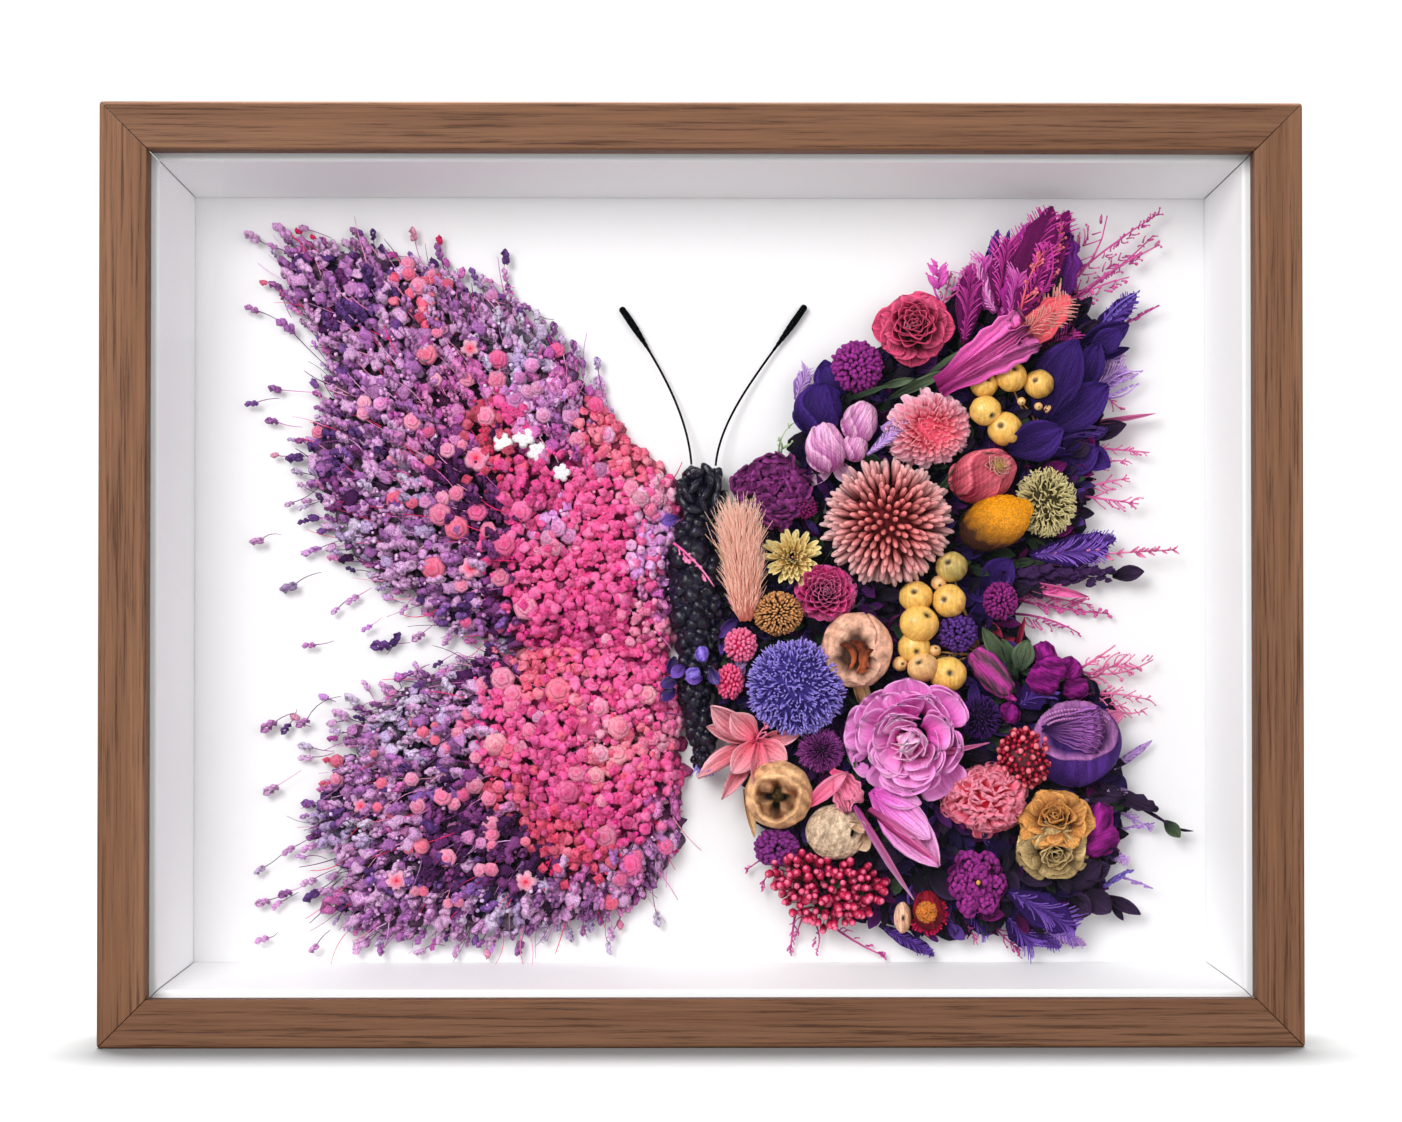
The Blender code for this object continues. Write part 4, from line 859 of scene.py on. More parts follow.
        spot = np.array((px, pz, lift))
        colour = pickHue([hue])
        form = dice.choice(["sprigHead", "headA", "headC"]) if half > 2 else "crumple"
        addCopies(buds, shapes[form], pointing(-way[None] + dice.normal(0, 0.1, 3), up[None]
                                               + dice.normal(0, 0.2, 3)) * half * (0.72 if half > 2 else 0.8),
                  [spot], colour * 0.34, colour * 0.95, colour * 0.2)
        stemHue = pickHue([dice.choice(["mauve", "plum", "plum"])])
        addStalks(stems, shapes["stalk"], [spot + way * half * 0.5],
                  [spot + way * (half + stem) + (0, 0, 0.8)], 0.2, dice.normal(0, 0.07), stemHue * 0.7,
                  stemHue * 0.9)
    buildPiece(name + "Bed", bed, crumpledPetal, [node])
    buildPiece(name + "Buds", buds, crumpledPetal, [node])
    buildPiece(name + "Blooms", blooms, softPetal, [node])
    buildPiece(name + "Stems", stems, softPetal)


forms = {     # petals, leaves and fingers of the larger flowers on the right wings
    "wall": petalShape(1, 0.3, 1.6, 0.75, cup=0.6, curl=-0.3, ruffle=0.03, across=6, along=5, thick=0.05),
    "rolled": petalShape(1, 0.32, 1.5, 0.5, cup=0.4, curl=-1.0, ruffle=0.04, across=6, along=7, thick=0.04),
    "fold": petalShape(1, 0.3, 1.6, 0.6, cup=0.5, curl=-1.5, ruffle=0.07, waves=2.5, across=8, along=7,
                       thick=0.05),
    "quill": petalShape(1, 0.4, 1.6, 0.4, cup=0.5, curl=0.35, across=4, along=6, thick=0.09),
    "blade": petalShape(1, 0.8, 0.9, 0.4, cup=0.16, curl=0.3, across=2, along=5, thick=0.05),
    "strap": petalShape(1, 0.4, 1.3, 0.35, cup=0.2, curl=0.4, groove=0.05, across=4, along=6, thick=0.06),
    "frill": petalShape(1, 0.26, 1.8, 0.25, cup=0.05, curl=-0.1, ruffle=0.3, waves=5, across=20, along=6,
                        thick=0.022),
    "ribbon": petalShape(1, 0.22, 1.9, 0.4, cup=0.12, curl=-0.1, ruffle=0.17, waves=2.4, across=18, along=5,
                         thick=0.05),
    "broad": petalShape(1, 0.3, 1.7, 0.3, cup=0.42, curl=0.55, ruffle=0.05, waves=3, across=10, along=8,
                        thick=0.03),
    "lance": petalShape(1, 0.8, 1.0, 0.24, cup=0.2, curl=0.5, groove=0.07, ruffle=0.03, across=6, along=9,
                        thick=0.02),
    "flat": petalShape(1, 0.7, 1.1, 0.2, cup=0.03, curl=0.02, across=4, along=16, thick=0.02, teeth=0.16),
    "leafy": petalShape(1, 0.75, 1.0, 0.15, cup=0.12, curl=0.35, ruffle=0.05, waves=2, across=6, along=8,
                        thick=0.018, groove=0.06),
    "jagged": petalShape(1, 0.7, 1.1, 0.2, cup=0.1, curl=0.3, ruffle=0.09, waves=4, across=8, along=20,
                         thick=0.02, groove=0.05, teeth=0.24),
    "crest": petalShape(1, 0.6, 1.3, 0.3, cup=0.16, curl=0.35, ruffle=0.14, waves=5, across=14, along=22,
                        thick=0.025, groove=0.05, teeth=0.2),
    "rod": fingerShape(0.15, 1.25, 7, 7), "finger": fingerShape(0.2), "club": fingerShape(0.26, 1.6),
    "thin": fingerShape(0.12, 1.0, 5, 4, 0.3),
    "hair": stalkShape(3, 1)}


def along(f, stops):     # values or colours spread evenly from the middle 0 to the edge 1
    stops = np.asarray(stops, float)
    marks = np.linspace(0, 1, len(stops))
    if stops.ndim == 1:
        return np.interp(f, marks, stops)
    return np.stack([np.interp(f, marks, stops[:, i]) for i in range(3)], axis=1)


def tones(*colours):
    return np.array([paint(*colour) for colour in colours])


unitSpot = {"halfWidth": 1, "halfLength": 1, "base": 0, "top": 2}     # a head of radius 1 about its middle


def headSize(spot):     # mean radius and height of a head
    return (spot["halfWidth"] + spot["halfLength"]) / 2, spot["top"] - spot["base"]


def addPetals(heap, form, angle, lean, places, long, wide, deep, rim, tilt):
    out = np.stack([np.cos(angle), np.sin(angle), np.zeros(len(angle))], axis=1)
    side = np.stack([out[:, 1], -out[:, 0], out[:, 2]], axis=1)
    way = np.cos(lean)[:, None] * upward + np.sin(lean)[:, None] * out
    turns = np.stack([side * wide[:, None], way * long[:, None], np.cross(side, way) * long[:, None]], axis=2)
    turn = tilted(*tilt)
    shade = dice.normal(1, 0.1, (len(angle), 1)).clip(0.7, 1.3)
    addCopies(heap, forms[form], turn @ turns, places @ turn.T, deep * shade, rim * shade)


def spiralHead(heap, spot, form, count, base, rise, lean, length, width, deep, rim, power=0.5,
               wobble=5.0, tilt=(0, 0), start=0.0):     # petals at the golden angle round one axis
    i = np.arange(count)
    f = ((i + 0.5) / count) ** power
    radius, tall = headSize(spot)
    angle = i * goldenAngle + start + dice.normal(0, math.radians(wobble), count)
    lean = np.radians(along(f, lean) + dice.normal(0, wobble, count))
    out = np.stack([np.cos(angle), np.sin(angle), np.zeros(count)], axis=1)
    places = out * (along(f, base) * radius)[:, None] + np.outer(along(f, rise) * tall, (0, 0, 1))
    long = along(f, length) * radius * dice.normal(1, 0.07, count)
    addPetals(heap, form, angle, lean, places, long, along(f, width) * radius, along(f, deep), along(f, rim),
              tilt)


def domeSpots(spot, count, reach, core):     # even places over a ball, from the top down to an angle
    radius, tall = headSize(spot)
    i = np.arange(count)
    polar = np.arccos(1 - (i + 0.5) / count * (1 - math.cos(math.radians(reach))))
    angle = i * goldenAngle + dice.normal(0, 0.06, count)
    normals = np.stack([np.sin(polar) * np.cos(angle), np.sin(polar) * np.sin(angle), np.cos(polar)], axis=1)
    return polar, angle, normals, normals * (radius * core, radius * core, tall * core / 2) + (0, 0, tall / 2)


def addScales(heap, spot, form, count, long, wide, deep, rim, tuck=25, reach=115, core=0.72, tilt=(0, 0),
              wobble=7):
    polar, angle, _, places = domeSpots(spot, count, reach, core)
    radius, tall = headSize(spot)
    f = np.arange(count) / count
    lean = polar + np.radians(tuck + dice.normal(0, wobble, count))
    angle = angle + np.radians(dice.normal(0, wobble, count))
    middle = np.array((0, 0, tall / 2)) @ tilted(*tilt) - (0, 0, tall / 2)
    long = along(f, np.atleast_1d(long)) * radius * dice.normal(1, 0.1, count)
    addPetals(heap, form, angle, lean, places + middle, long, along(f, np.atleast_1d(wide)) * radius,
              along(f, deep), along(f, rim), tilt)


def addFlorets(heap, spot, shape, count, size, deep, rim, eye=None, reach=112, core=0.84, rough=0.16):
    _, _, normals, places = domeSpots(spot, count, reach, core)
    normals = unit(normals + dice.normal(0, rough, normals.shape))
    grow = size * headSize(spot)[0] * dice.normal(1, 0.12, count).clip(0.7, 1.35)
    shade = dice.normal(1, 0.13, (count, 1)).clip(0.6, 1.4)
    deep, rim = (np.broadcast_to(colour, (count, 3)) * shade for colour in (deep, rim))
    addCopies(heap, shape, facing(normals, dice.random(count) * spinRange) * grow[:, None, None], places,
              deep, rim, eye)


def addCore(heap, spot, size, colour, shape=None):     # the solid middle of a head
    radius, tall = headSize(spot)
    turn = np.diag((radius * size, radius * size, tall * size / 2))
    addCopies(heap, shape or shapes["core"], turn[None], [(0, 0, tall / 2)], colour * 0.8, colour)


def fitInto(heap, spot):     # a head grown or shrunk until it fills its place
    verts = np.concatenate([part[0] for part in heap])
    low, high = verts.min(axis=0), verts.max(axis=0)
    size = np.array((2 * spot["halfWidth"], 2 * spot["halfLength"], spot["top"] - spot["base"]))
    middle = np.array((spot["x"], spot["z"], (spot["base"] + spot["top"]) / 2))
    for n, part in enumerate(heap):
        heap[n] = ((part[0] - (low + high) / 2) * size / (high - low) + middle, *part[1:])


def addMoved(heap, part, shift, size=1):     # a part grown and moved, then laid with the rest
    heap += [(piece[0] * size + shift, *piece[1:]) for piece in part]


def formedBall(detail, form, stretch=(1, 1, 1)):     # an icosphere grown by a formula of its directions
    bm = bmesh.new()
    bmesh.ops.create_icosphere(bm, subdivisions=detail, radius=1)
    ball = corners(bm)
    grow, tone, eye = form(ball)
    moveTo(bm, ball * grow[:, None] * np.array(stretch))
    return readShape(bm, tone, eye)


def pebbly(way):
    bumps = np.sin(11 * way[:, 0] + 2) * np.sin(12 * way[:, 1]) * np.sin(10 * way[:, 2] + 1)
    fine = np.sin(27 * way[:, 0]) * np.sin(25 * way[:, 1] + 1) * np.sin(29 * way[:, 2])
    tip = np.exp(-((way[:, 1] - 1) / 0.05) ** 2)
    # tone: darker at one end, partly the pod's own browner end and partly painted shade, and painted lighter
    # on the side that faces out of the frame
    tone = 0.2 + 0.6 * way[:, 1] - 0.2 * way[:, 0] + 0.4 * way[:, 2] + 0.1 * bumps
    return 1 + 0.02 * bumps + 0.025 * fine + 0.13 * tip, tone, 0 * tone


def poppyHead(way):     # a papery shell, open in front on chambers painted near-black as shade, with its sunk bowl painted darker as shade
    mouth = unit(np.array((-0.14, -0.1, 1.0)))
    gap = np.linalg.norm(way - mouth, axis=1)
    turn = np.arctan2(way[:, 1] - mouth[1], way[:, 0] - mouth[0])
    edge = 0.68 + 0.05 * np.sin(3 * turn + 1) + 0.03 * np.sin(7 * turn)
    bowl = 1 - np.clip((gap - edge) / 0.05, 0, 1)
    star = 0.4 + 0.19 * np.cos(4 * turn + 0.9) + 0.08 * np.sin(3 * turn)
    hole = 1 - np.clip((gap - star) / 0.06, 0, 1)
    lip = np.exp(-((gap - edge - 0.07) / 0.04) ** 2)
    grain = np.sin(9 * way[:, 0] + 5 * way[:, 1]) * np.sin(7 * way[:, 1] - 6 * way[:, 2] + 1)
    grow = 1 + 0.02 * grain + 0.03 * lip - 0.1 * bowl - 0.36 * hole
    return grow, 0.66 + 0.26 * grain + 0.3 * lip - 0.5 * bowl, hole


def splitShell(way):     # a husk that has split open, its inside painted dark as shade
    mouth = unit(np.array((-0.1, -0.26, 0.92)))
    away = (way - mouth) * (0.95, 0.8, 1)
    turn = np.arctan2(away[:, 1], away[:, 0])
    gap = np.linalg.norm(away, axis=1)
    gap = gap + 0.1 * np.sin(3 * turn + 0.5) + 0.05 * np.sin(7 * turn) + 0.03 * np.sin(13 * turn)
    pit = 1 - np.clip((gap - 0.6) / 0.06, 0, 1)
    lip = np.exp(-((gap - 0.68) / 0.035) ** 2)
    crack = np.exp(-((way[:, 0] - 0.3 - 0.25 * np.sin(3 * way[:, 1] + 0.4)) / 0.025) ** 2) * (way[:,
                                                                                                  1] > 0.15)
    grain = np.sin(8 * way[:, 0] + 2 * way[:, 1]) * np.sin(5 * way[:, 1] + 4 * way[:, 2])
    grow = 1 + 0.02 * grain + 0.05 * lip - 0.4 * pit - 0.08 * crack
    return grow, 0.74 + 0.16 * grain + 0.3 * lip - 0.3 * pit - 0.6 * crack, 0.9 * pit


def paperBall(way):     # a crumpled papery ball with a torn hole and a seam; the hole is painted dark as shade inside
    grain = sum(np.sin(k * way[:, 0] + k) * np.sin(k * way[:, 1] - 2) * np.sin(k * way[:, 2] + 1)
                for k in (6, 11, 19))
    gap = np.linalg.norm((way - unit(np.array((0.55, 0.2, 0.8)))) * (1.3, 0.8, 1), axis=1)
    hole = 1 - np.clip((gap - 0.16 - 0.03 * grain) / 0.06, 0, 1)
    lip = np.exp(-((gap - 0.3) / 0.07) ** 2)
    fibre = np.sin(34 * way[:, 0] + 5 * way[:, 1]) * np.sin(5 * way[:, 1] + 9 * way[:, 0])
    return 1 + 0.012 * grain + 0.05 * lip - 0.25 * hole, 0.7 + 0.26 * grain + 0.07 * fibre + 0.4 * lip, hole


def bowlShape(way):     # a tulip cup whose mouth opens up and to the left
    mouth = unit(np.array((-0.08, 0.42, 0.9)))
    away = (way - mouth) * (0.86, 1.1, 1)
    turn = np.arctan2(away[:, 1], away[:, 0])
    gap = np.linalg.norm(away, axis=1) + 0.03 * np.sin(3 * turn) + 0.015 * np.sin(11 * turn)
    pit = 1 - np.clip((gap - 0.8) / 0.06, 0, 1)
    rim = np.exp(-((gap - 0.86) / 0.035) ** 2)
    fold = np.cos(3 * np.arctan2(way[:, 0], way[:, 2]) + 1.5 * way[:, 1])
    grow = 1 + 0.09 * rim - 0.34 * pit + 0.03 * fold * (gap > 0.9)
    return grow, 0.3 + 0.55 * (way[:, 0] + way[:, 2]) * (gap > 0.9) * 0.6 + 0.15 * fold, 0.85 * rim


def ribbedPod(ribs, ripple, ends):
    def form(way):
        ridge = np.cos(ribs * np.arctan2(way[:, 2], way[:, 0]))
        grow = 1 + ripple * ridge * (1 - way[:, 1] ** 2) - ends * np.abs(way[:, 1]) ** 4
        return grow, 0.55 + 0.45 * ridge, 0 * ridge
    return form


def foldedBud(way):     # a closed bud with overlapping petals that meet at its tip
    turn = np.arctan2(way[:, 0], way[:, 2]) + 0.9 * way[:, 1] + 0.5
    step = (4 * turn / (2 * math.pi) + 0.1 * np.sin(4 * way[:, 1] + 1)) % 1
    lap = np.clip((step - 0.8) / 0.18, 0, 1)
    fine = np.cos(40 * step + 3 * way[:, 1])
    tip = np.exp(-((way[:, 1] - 1) / 0.2) ** 2)
    tone = 0.15 + 0.3 * step + 0.4 * lap ** 3 + 0.09 * fine + 0.2 * way[:, 1]
    return 1 + 0.16 * step - 0.04 * lap ** 2 + 0.16 * tip, tone, 0 * step


def knobbly(way):     # a bud of tiny knobs, faintly banded
    knobs = np.sin(8 * way[:, 0] + 1) * np.sin(7 * way[:, 1]) * np.sin(8 * way[:, 2] + 2)
    band = np.sin(4 * np.arctan2(way[:, 0], way[:, 2]) + 3 * way[:, 1])
    return 1 + 0.12 * knobs - 0.2 * np.abs(way[:, 1]) ** 5, 0.45 + 0.4 * knobs + 0.35 * band, 0 * band


def driedBerry(way):     # round, faintly wrinkled, with a dark eye; painted lighter at its upper left and darker at its lower right, as the light falls
    wrinkle = np.sin(7 * way[:, 0] + 3 * way[:, 1]) * np.sin(6 * way[:, 1] - 2 * way[:, 2])
    eye = np.exp(-((1 - way[:, 2]) / 0.022) ** 2)
    # tone: painted light towards the upper left, painted shade towards the lower right
    return 1 + 0.02 * wrinkle - 0.16 * eye, 0.62 + 0.3 * way[:, 1] - 0.3 * way[:,
                                                                               0] + 0.12 * wrinkle, eye ** 0.6


def blockShape(taper=0.0):     # a unit block, narrower at the end when it tapers
    bm = bmesh.new()
    bmesh.ops.create_cube(bm, size=1)
    block = corners(bm)
    narrow = 1 - taper * (block[:, 1] < 0)
    moveTo(bm, block * np.stack([narrow, np.ones(8), np.ones(8)], axis=1))
    return readShape(bm, np.ones(8))


shapes.update({
    "block": blockShape(), "point": blockShape(0.6), "core": ballShape(3, 0.02, 4),
    "berry": formedBall(4, driedBerry), "bead": ballShape(2),
    "orangePod": formedBall(6, pebbly), "poppy": formedBall(6, poppyHead), "shell": formedBall(6, splitShell),
    "paper": formedBall(6, paperBall), "knobs": formedBall(4, knobbly), "lumpy": formedBall(3, knobbly),
    "ribbed": formedBall(5, ribbedPod(13, 0.07, 0.12)), "cup": formedBall(6, bowlShape),
    "husk": formedBall(5, foldedBud), "spindle": formedBall(4, ribbedPod(8, 0.09, 0.3))})

smoothPetal = tintedMaterial("smoothPetal", 0.6, 0.08, 900, 0.78, 1.14, 0.0003, 0.0, 5, 0.45)
papery = tintedMaterial("paperyPetal", 0.7, 0.08, 1300, 0.8, 1.14, 0.0003, 0.0, 5, 0.6)
lightPetal = tintedMaterial("lightPetal", 0.65, 0.14, 1300, 0.92, 1.1, 0.0002, 0.12, 4, 0.26)
berrySkin = tintedMaterial("berrySkin", 0.26, 0.55, 900, 0.8, 1.12, 0.0002, 0.0, 5, 0.25)
podSkin = tintedMaterial("podSkin", 0.6, 0.1, 1300, 0.62, 1.22, 0.0005, 0.0, 6, 0.4)
huskSkin = tintedMaterial("huskSkin", 0.55, 0.1, 420, 0.42, 1.28, 0.0007, 0.0, 7)
hairSkin = tintedMaterial("paleHair", 0.7, 0.2, 1500, 0.9, 1.1, 0.0001)
pebbleSkin = tintedMaterial("pebbleSkin", 0.2, 0.34, 1500, 0.5, 1.3, 0.0008, 0.0, 3)
blackPetal = tintedMaterial("blackPetal", 0.27, 0.42, 700, 0.6, 1.3, 0.0002)


def makeRose(heap, spot):
    deep, rim = tones((66, 0, 18), (86, 2, 28)), tones((200, 76, 104), (184, 56, 86))
    spiralHead(heap, spot, "wall", 34, (0.02, 0.5), (0.62, 0.36), (-8, 18), (0.26, 0.48), (0.14, 0.74), deep,
               rim, 0.7, 4, (-5, 6))
    spiralHead(heap, spot, "rolled", 15, (0.42, 0.52), (0.32, 0.06), (26, 68), (0.46, 0.56), (0.8, 1.0), deep,
               rim, 0.8, 7, (-5, 6), 1.0)


def makeRanunculus(heap, spot):
    deep, rim = tones((84, 0, 48), (104, 2, 62)), tones((226, 112, 176), (196, 60, 136))
    spiralHead(heap, spot, "wall", 62, (0.02, 0.66), (0.6, 0.26), (-10, 30), (0.22, 0.42), (0.14, 0.66), deep,
               rim, 0.72, 4, (0, 4))
    spiralHead(heap, spot, "rolled", 12, (0.55, 0.62), (0.2, 0.1), (36, 60), (0.4, 0.42), (0.8, 0.9), deep,
               rim)


def makeDriedRose(heap, spot):
    for shift, turn, deep, rim in (((0, -7, -2), (2, -16), (82, 52, 22), (196, 166, 112)),
                                   ((1, 4, 0), (-6, 22), (110, 50, 16), (220, 156, 84))):
        part = []
        spiralHead(part, spot, "wall", 14, (0.02, 0.34), (0.5, 0.3), (-6, 18), (0.3, 0.5), (0.16, 0.7),
                   tones(deep, deep), tones(rim, rim), 0.7, 6, turn)
        spiralHead(part, spot, "fold", 9, (0.3, 0.42), (0.3, 0.08), (24, 56), (0.6, 0.66), (1.0, 1.25),
                   tones(deep, deep), tones(rim, rim), 0.8, 9, turn, 2.0)
        addMoved(heap, part, shift)


def makeBud(heap, spot):     # a closed coral bud that opens on a golden spiral at its upper right
    makePod("husk", (84, 4, 20), (190, 76, 86), -50, (1, 1.08))(heap, spot)
    radius, tall = headSize(spot)
    part = []
    spiralHead(part, spot, "wall", 40, (0.02, 0.34), (0.6, 0.44), (-6, 20), (0.2, 0.36), (0.08, 0.44),
               tones((150, 80, 30), (130, 22, 48)), tones((246, 180, 92), (240, 134, 140)), 0.7, 4, (16, 14))
    addMoved(heap, part, (0.3 * radius, 0.2 * radius, tall * 0.44))
    for x, z, size in ((-0.42, -0.1, 0.7), (0.1, -0.3, 0.6), (0.72, -0.22, 0.9), (0.5, 0.44, 0.7),
                       (0.05, -0.48, 0.5)):
        addBall(heap, shapes["ball"], (x * radius, z * radius, tall * (0.93 - 0.3 * (x * x + z * z))),
                (size, size, 0.3), paint(20, 8, 10), paint(30, 12, 14))


def makeDahlia(heap, spot):
    addCore(heap, spot, 0.6, paint(220, 70, 94))
    addScales(heap, spot, "quill", 170, (0.16, 0.36, 0.54), (0.12, 0.22, 0.26),
              tones((176, 12, 34), (206, 48, 76), (222, 92, 116)),
              tones((244, 110, 118), (248, 150, 162), (250, 176, 188)), 20, 112, 0.62, (20, -18))


def makeGlobeThistle(heap, spot):
    addCore(heap, spot, 0.6, paint(110, 30, 34))
    addScales(heap, spot, "rod", 300, (0.3, 0.4, 0.5), (0.3, 0.36, 0.4),
              tones((150, 4, 22), (140, 26, 36), (132, 70, 68)),
              tones((242, 130, 122), (250, 190, 180), (244, 214, 204)), 3, 116, 0.6, (0, 0), 3)


def makePeony(heap, spot):
    spiralHead(heap, spot, "broad", 40, (0.1, 0.48), (0.5, 0.02), (24, 82), (0.4, 0.62), (0.5, 0.8),
               tones((196, 54, 156), (196, 56, 160), (186, 56, 158)),
               tones((246, 168, 228), (240, 156, 222), (228, 140, 212)), 0.6, 19, (-10, -12))
    spiralHead(heap, spot, "broad", 8, (0.04, 0.2), (0.5, 0.5), (4, 44), (0.32, 0.42), (0.4, 0.54),
               tones((206, 66, 160), (204, 64, 160)), tones((252, 200, 232), (246, 178, 230)), 0.6, 28,
               (-12, -14))
    radius, tall = headSize(spot)
    deep, rim = paint(214, 96, 170), paint(252, 206, 232)     # of its pale heart
    for x, z, size in ((0, 0, 0.1), (0.1, 0.06, 0.08), (-0.09, 0.05, 0.08), (0.02, -0.1, 0.08)):
        place = ((x - 0.12) * radius, (z - 0.14) * radius, tall * 0.62)
        addBall(heap, shapes["crumple"], place, np.ones(3) * size * radius, deep, rim)


def makeCarnation(heap, spot):     # ruffled ribbons that stand on edge every way round over a dome
    addCore(heap, spot, 0.62, paint(206, 36, 68))
    spiralHead(heap, spot, "ribbon", 34, (0.46, 0.6), (0.3, 0.06), (48, 84), (0.4, 0.46), (0.42, 0.5),
               tones((206, 30, 62), (206, 36, 68)), tones((252, 150, 162), (248, 134, 150)), 0.8, 16)
    ribbons = 88
    _, _, normals, places = domeSpots(spot, ribbons, 78, 0.58)
    sizes = np.array((0.4, 0.34, 0.34)) * headSize(spot)[0] * dice.normal(1, 0.12, (ribbons, 1, 1)).clip(0.7,
                                                                                                         1.3)
    turns = pointing(unit(normals + dice.normal(0, 0.14, normals.shape)),
                     unit(dice.normal(0, 1, normals.shape)))
    addCopies(heap, forms["ribbon"], turns * sizes, places, tones((206, 30, 62)), tones((252, 156, 168)))


def makeAster(heap, spot):
    addCore(heap, spot, 0.5, paint(48, 12, 60))
    addScales(heap, spot, "thin", 420, (0.3, 0.5, 0.6), (0.3, 0.5, 0.6), tones((44, 10, 56), (66, 20, 92)),
              tones((118, 46, 134), (164, 84, 182)), 14, 108, 0.5)
    addBall(heap, shapes["ball"], (0, 0, headSize(spot)[1] * 0.86), (1.3, 1.3, 1), paint(16, 6, 18),
            paint(24, 8, 26))


def makeStrawflower(heap, spot):
    spiralHead(heap, spot, "strap", 100, (0.06, 0.34), (0.6, 0.12), (4, 86), (0.16, 0.66), (0.08, 0.19),
               tones((222, 156, 50), (236, 184, 84)), tones((253, 228, 140), (254, 234, 166)), 0.58, 6,
               (0, 8))
    addBall(heap, shapes["ball"], (0.6, 0, headSize(spot)[1] * 0.8), (0.7, 0.7, 0.6), paint(60, 30, 10),
            paint(80, 40, 14))


def makeHydrangea(heap, spot):
    radius, tall = headSize(spot)
    for n in range(7):     # ruffled rosettes in a ring round one in the middle
        a, away = n * 1.05, 0.0 if n == 6 else 0.52 * radius
        part = []
        spiralHead(part, {**spot, "halfWidth": 0.5 * radius, "halfLength": 0.5 * radius}, "frill", 16,
                   (0.04, 0.3), (0.4, 0.2), (0, 66), (0.5, 0.7), (0.5, 0.9), tones((60, 0, 62), (66, 2, 70)),
                   tones((164, 56, 150), (140, 42, 132)), 0.6, 24)
        lift = tall * (0.1 if n == 6 else -0.05)
        addMoved(heap, part, (away * math.cos(a), away * math.sin(a), lift))
    addBall(heap, shapes["ball"], (-0.4, 0.6, tall * 0.75), (0.9, 0.9, 0.8), paint(170, 110, 30),
            paint(246, 200, 94))


def makeStatice(heap, spot):
    for shift, size, count in (((0, 7, 1), 0.52, 20), ((-5, -1, 0), 0.56, 24), ((3, -3, 2), 0.58, 24),
                               ((-1, -9, 0), 0.42, 14), ((-9, 4, -1), 0.34, 9), ((6, 3, 0), 0.4, 11)):
        part = []
        addCore(part, spot, size * 0.7, paint(22, 2, 26))
        addFlorets(part, spot, shapes["open"], count, 0.21, paint(56, 2, 54), paint(166, 60, 148),
                   paint(16, 0, 18), 108, size, 0.5)
        addFlorets(part, spot, shapes["double"], count // 2, 0.17, paint(40, 0, 40), paint(128, 30, 112),
                   None, 100, size, 0.5)
        addMoved(heap, part, shift)
    tuft = {**spot, "halfWidth": 4.4, "halfLength": 4.4}
    part = []
    addScales(part, tuft, "finger", 90, 0.5, 0.5, tones((90, 2, 64), (82, 2, 58)),
              tones((178, 34, 128), (160, 26, 114)), 4, 110, 0.6)
    addMoved(heap, part, (11, -7.5, 1))


def makeCoral(count, long, deep, rim, form="finger", wide=0.5, wobble=9):
    def make(heap, spot):     # a ball of blunt fingers
        addCore(heap, spot, 0.74, paint(*deep) * 0.7)
        addScales(heap, spot, form, count, long, np.atleast_1d(long) * wide / 0.5, tones(deep, deep),
                  tones(rim, rim), 3, 122, 0.7, (0, 0), wobble)
    return make


def makeCrimsonBerries(heap, spot):
    addCore(heap, spot, 0.8, paint(70, 2, 22))
    addScales(heap, spot, "club", 150, 0.26, 0.26, tones((56, 0, 14), (60, 0, 18)),
              tones((146, 6, 34), (130, 4, 32)), 6, 118, 0.76)
    addFlorets(heap, spot, shapes["bead"], 34, 0.1, paint(140, 10, 36), paint(232, 112, 126), None, 112, 0.98)


def makeSpikyBall(heap, spot):
    addCore(heap, spot, 0.7, paint(44, 38, 18))
    spines = 420
    _, _, normals, places = domeSpots(spot, spines, 122, 0.62)
    away = unit(normals + dice.normal(0, 0.3, normals.shape))
    ends = places + away * headSize(spot)[0] * dice.uniform(0.3, 0.42, (spines, 1))
    shade = dice.normal(1, 0.12, (spines, 1))
    addStalks(heap, shapes["stalk"], places, ends, 0.32, dice.normal(0, 0.2, spines), paint(96, 84, 44)
              * shade, paint(216, 202, 148) * shade, 0.8)


def makeOrangeBud(heap, spot):
    placed = [("husk", (3.6, 1.4, 0), (6.6, 7.4, 6), (70, 2, 12), (156, 24, 28), 12),
              ("berry", (-8, -1.4, -1), (4, 7, 4.5), (150, 90, 36), (246, 200, 120), 10)]
    for shape, shift, size, deep, rim, turn in placed:
        part = []
        makePod(shape, deep, rim, turn)(part, unitSpot)
        addMoved(heap, part, shift, size)
    part = []
    gold = {**spot, "halfWidth": 4.6, "halfLength": 4.8, "top": spot["base"] + 8}
    addCore(part, gold, 0.9, paint(130, 56, 8))
    addFlorets(part, gold, shapes["ball"], 90, 0.19, paint(96, 34, 4), paint(214, 128, 36), None, 100, 0.92)
    addMoved(heap, part, (2.6, 1.6, 6.6))
    count = 60     # the crimson fringe below and to the right
    a = np.radians(np.linspace(-150, 60, count) + dice.normal(0, 6, count))
    out = np.column_stack([np.cos(a), np.sin(a), dice.normal(0.1, 0.3, count)])
    roots = np.array((3.8, 0.2, 2.5)) + out * (5, 5, 2)
    addStalks(heap, shapes["stalk"], roots, roots + out * dice.uniform(2.5, 5, (count, 1)), 0.7,
              dice.normal(0, 0.2, count), paint(110, 4, 24), paint(214, 24, 56), 0.7)


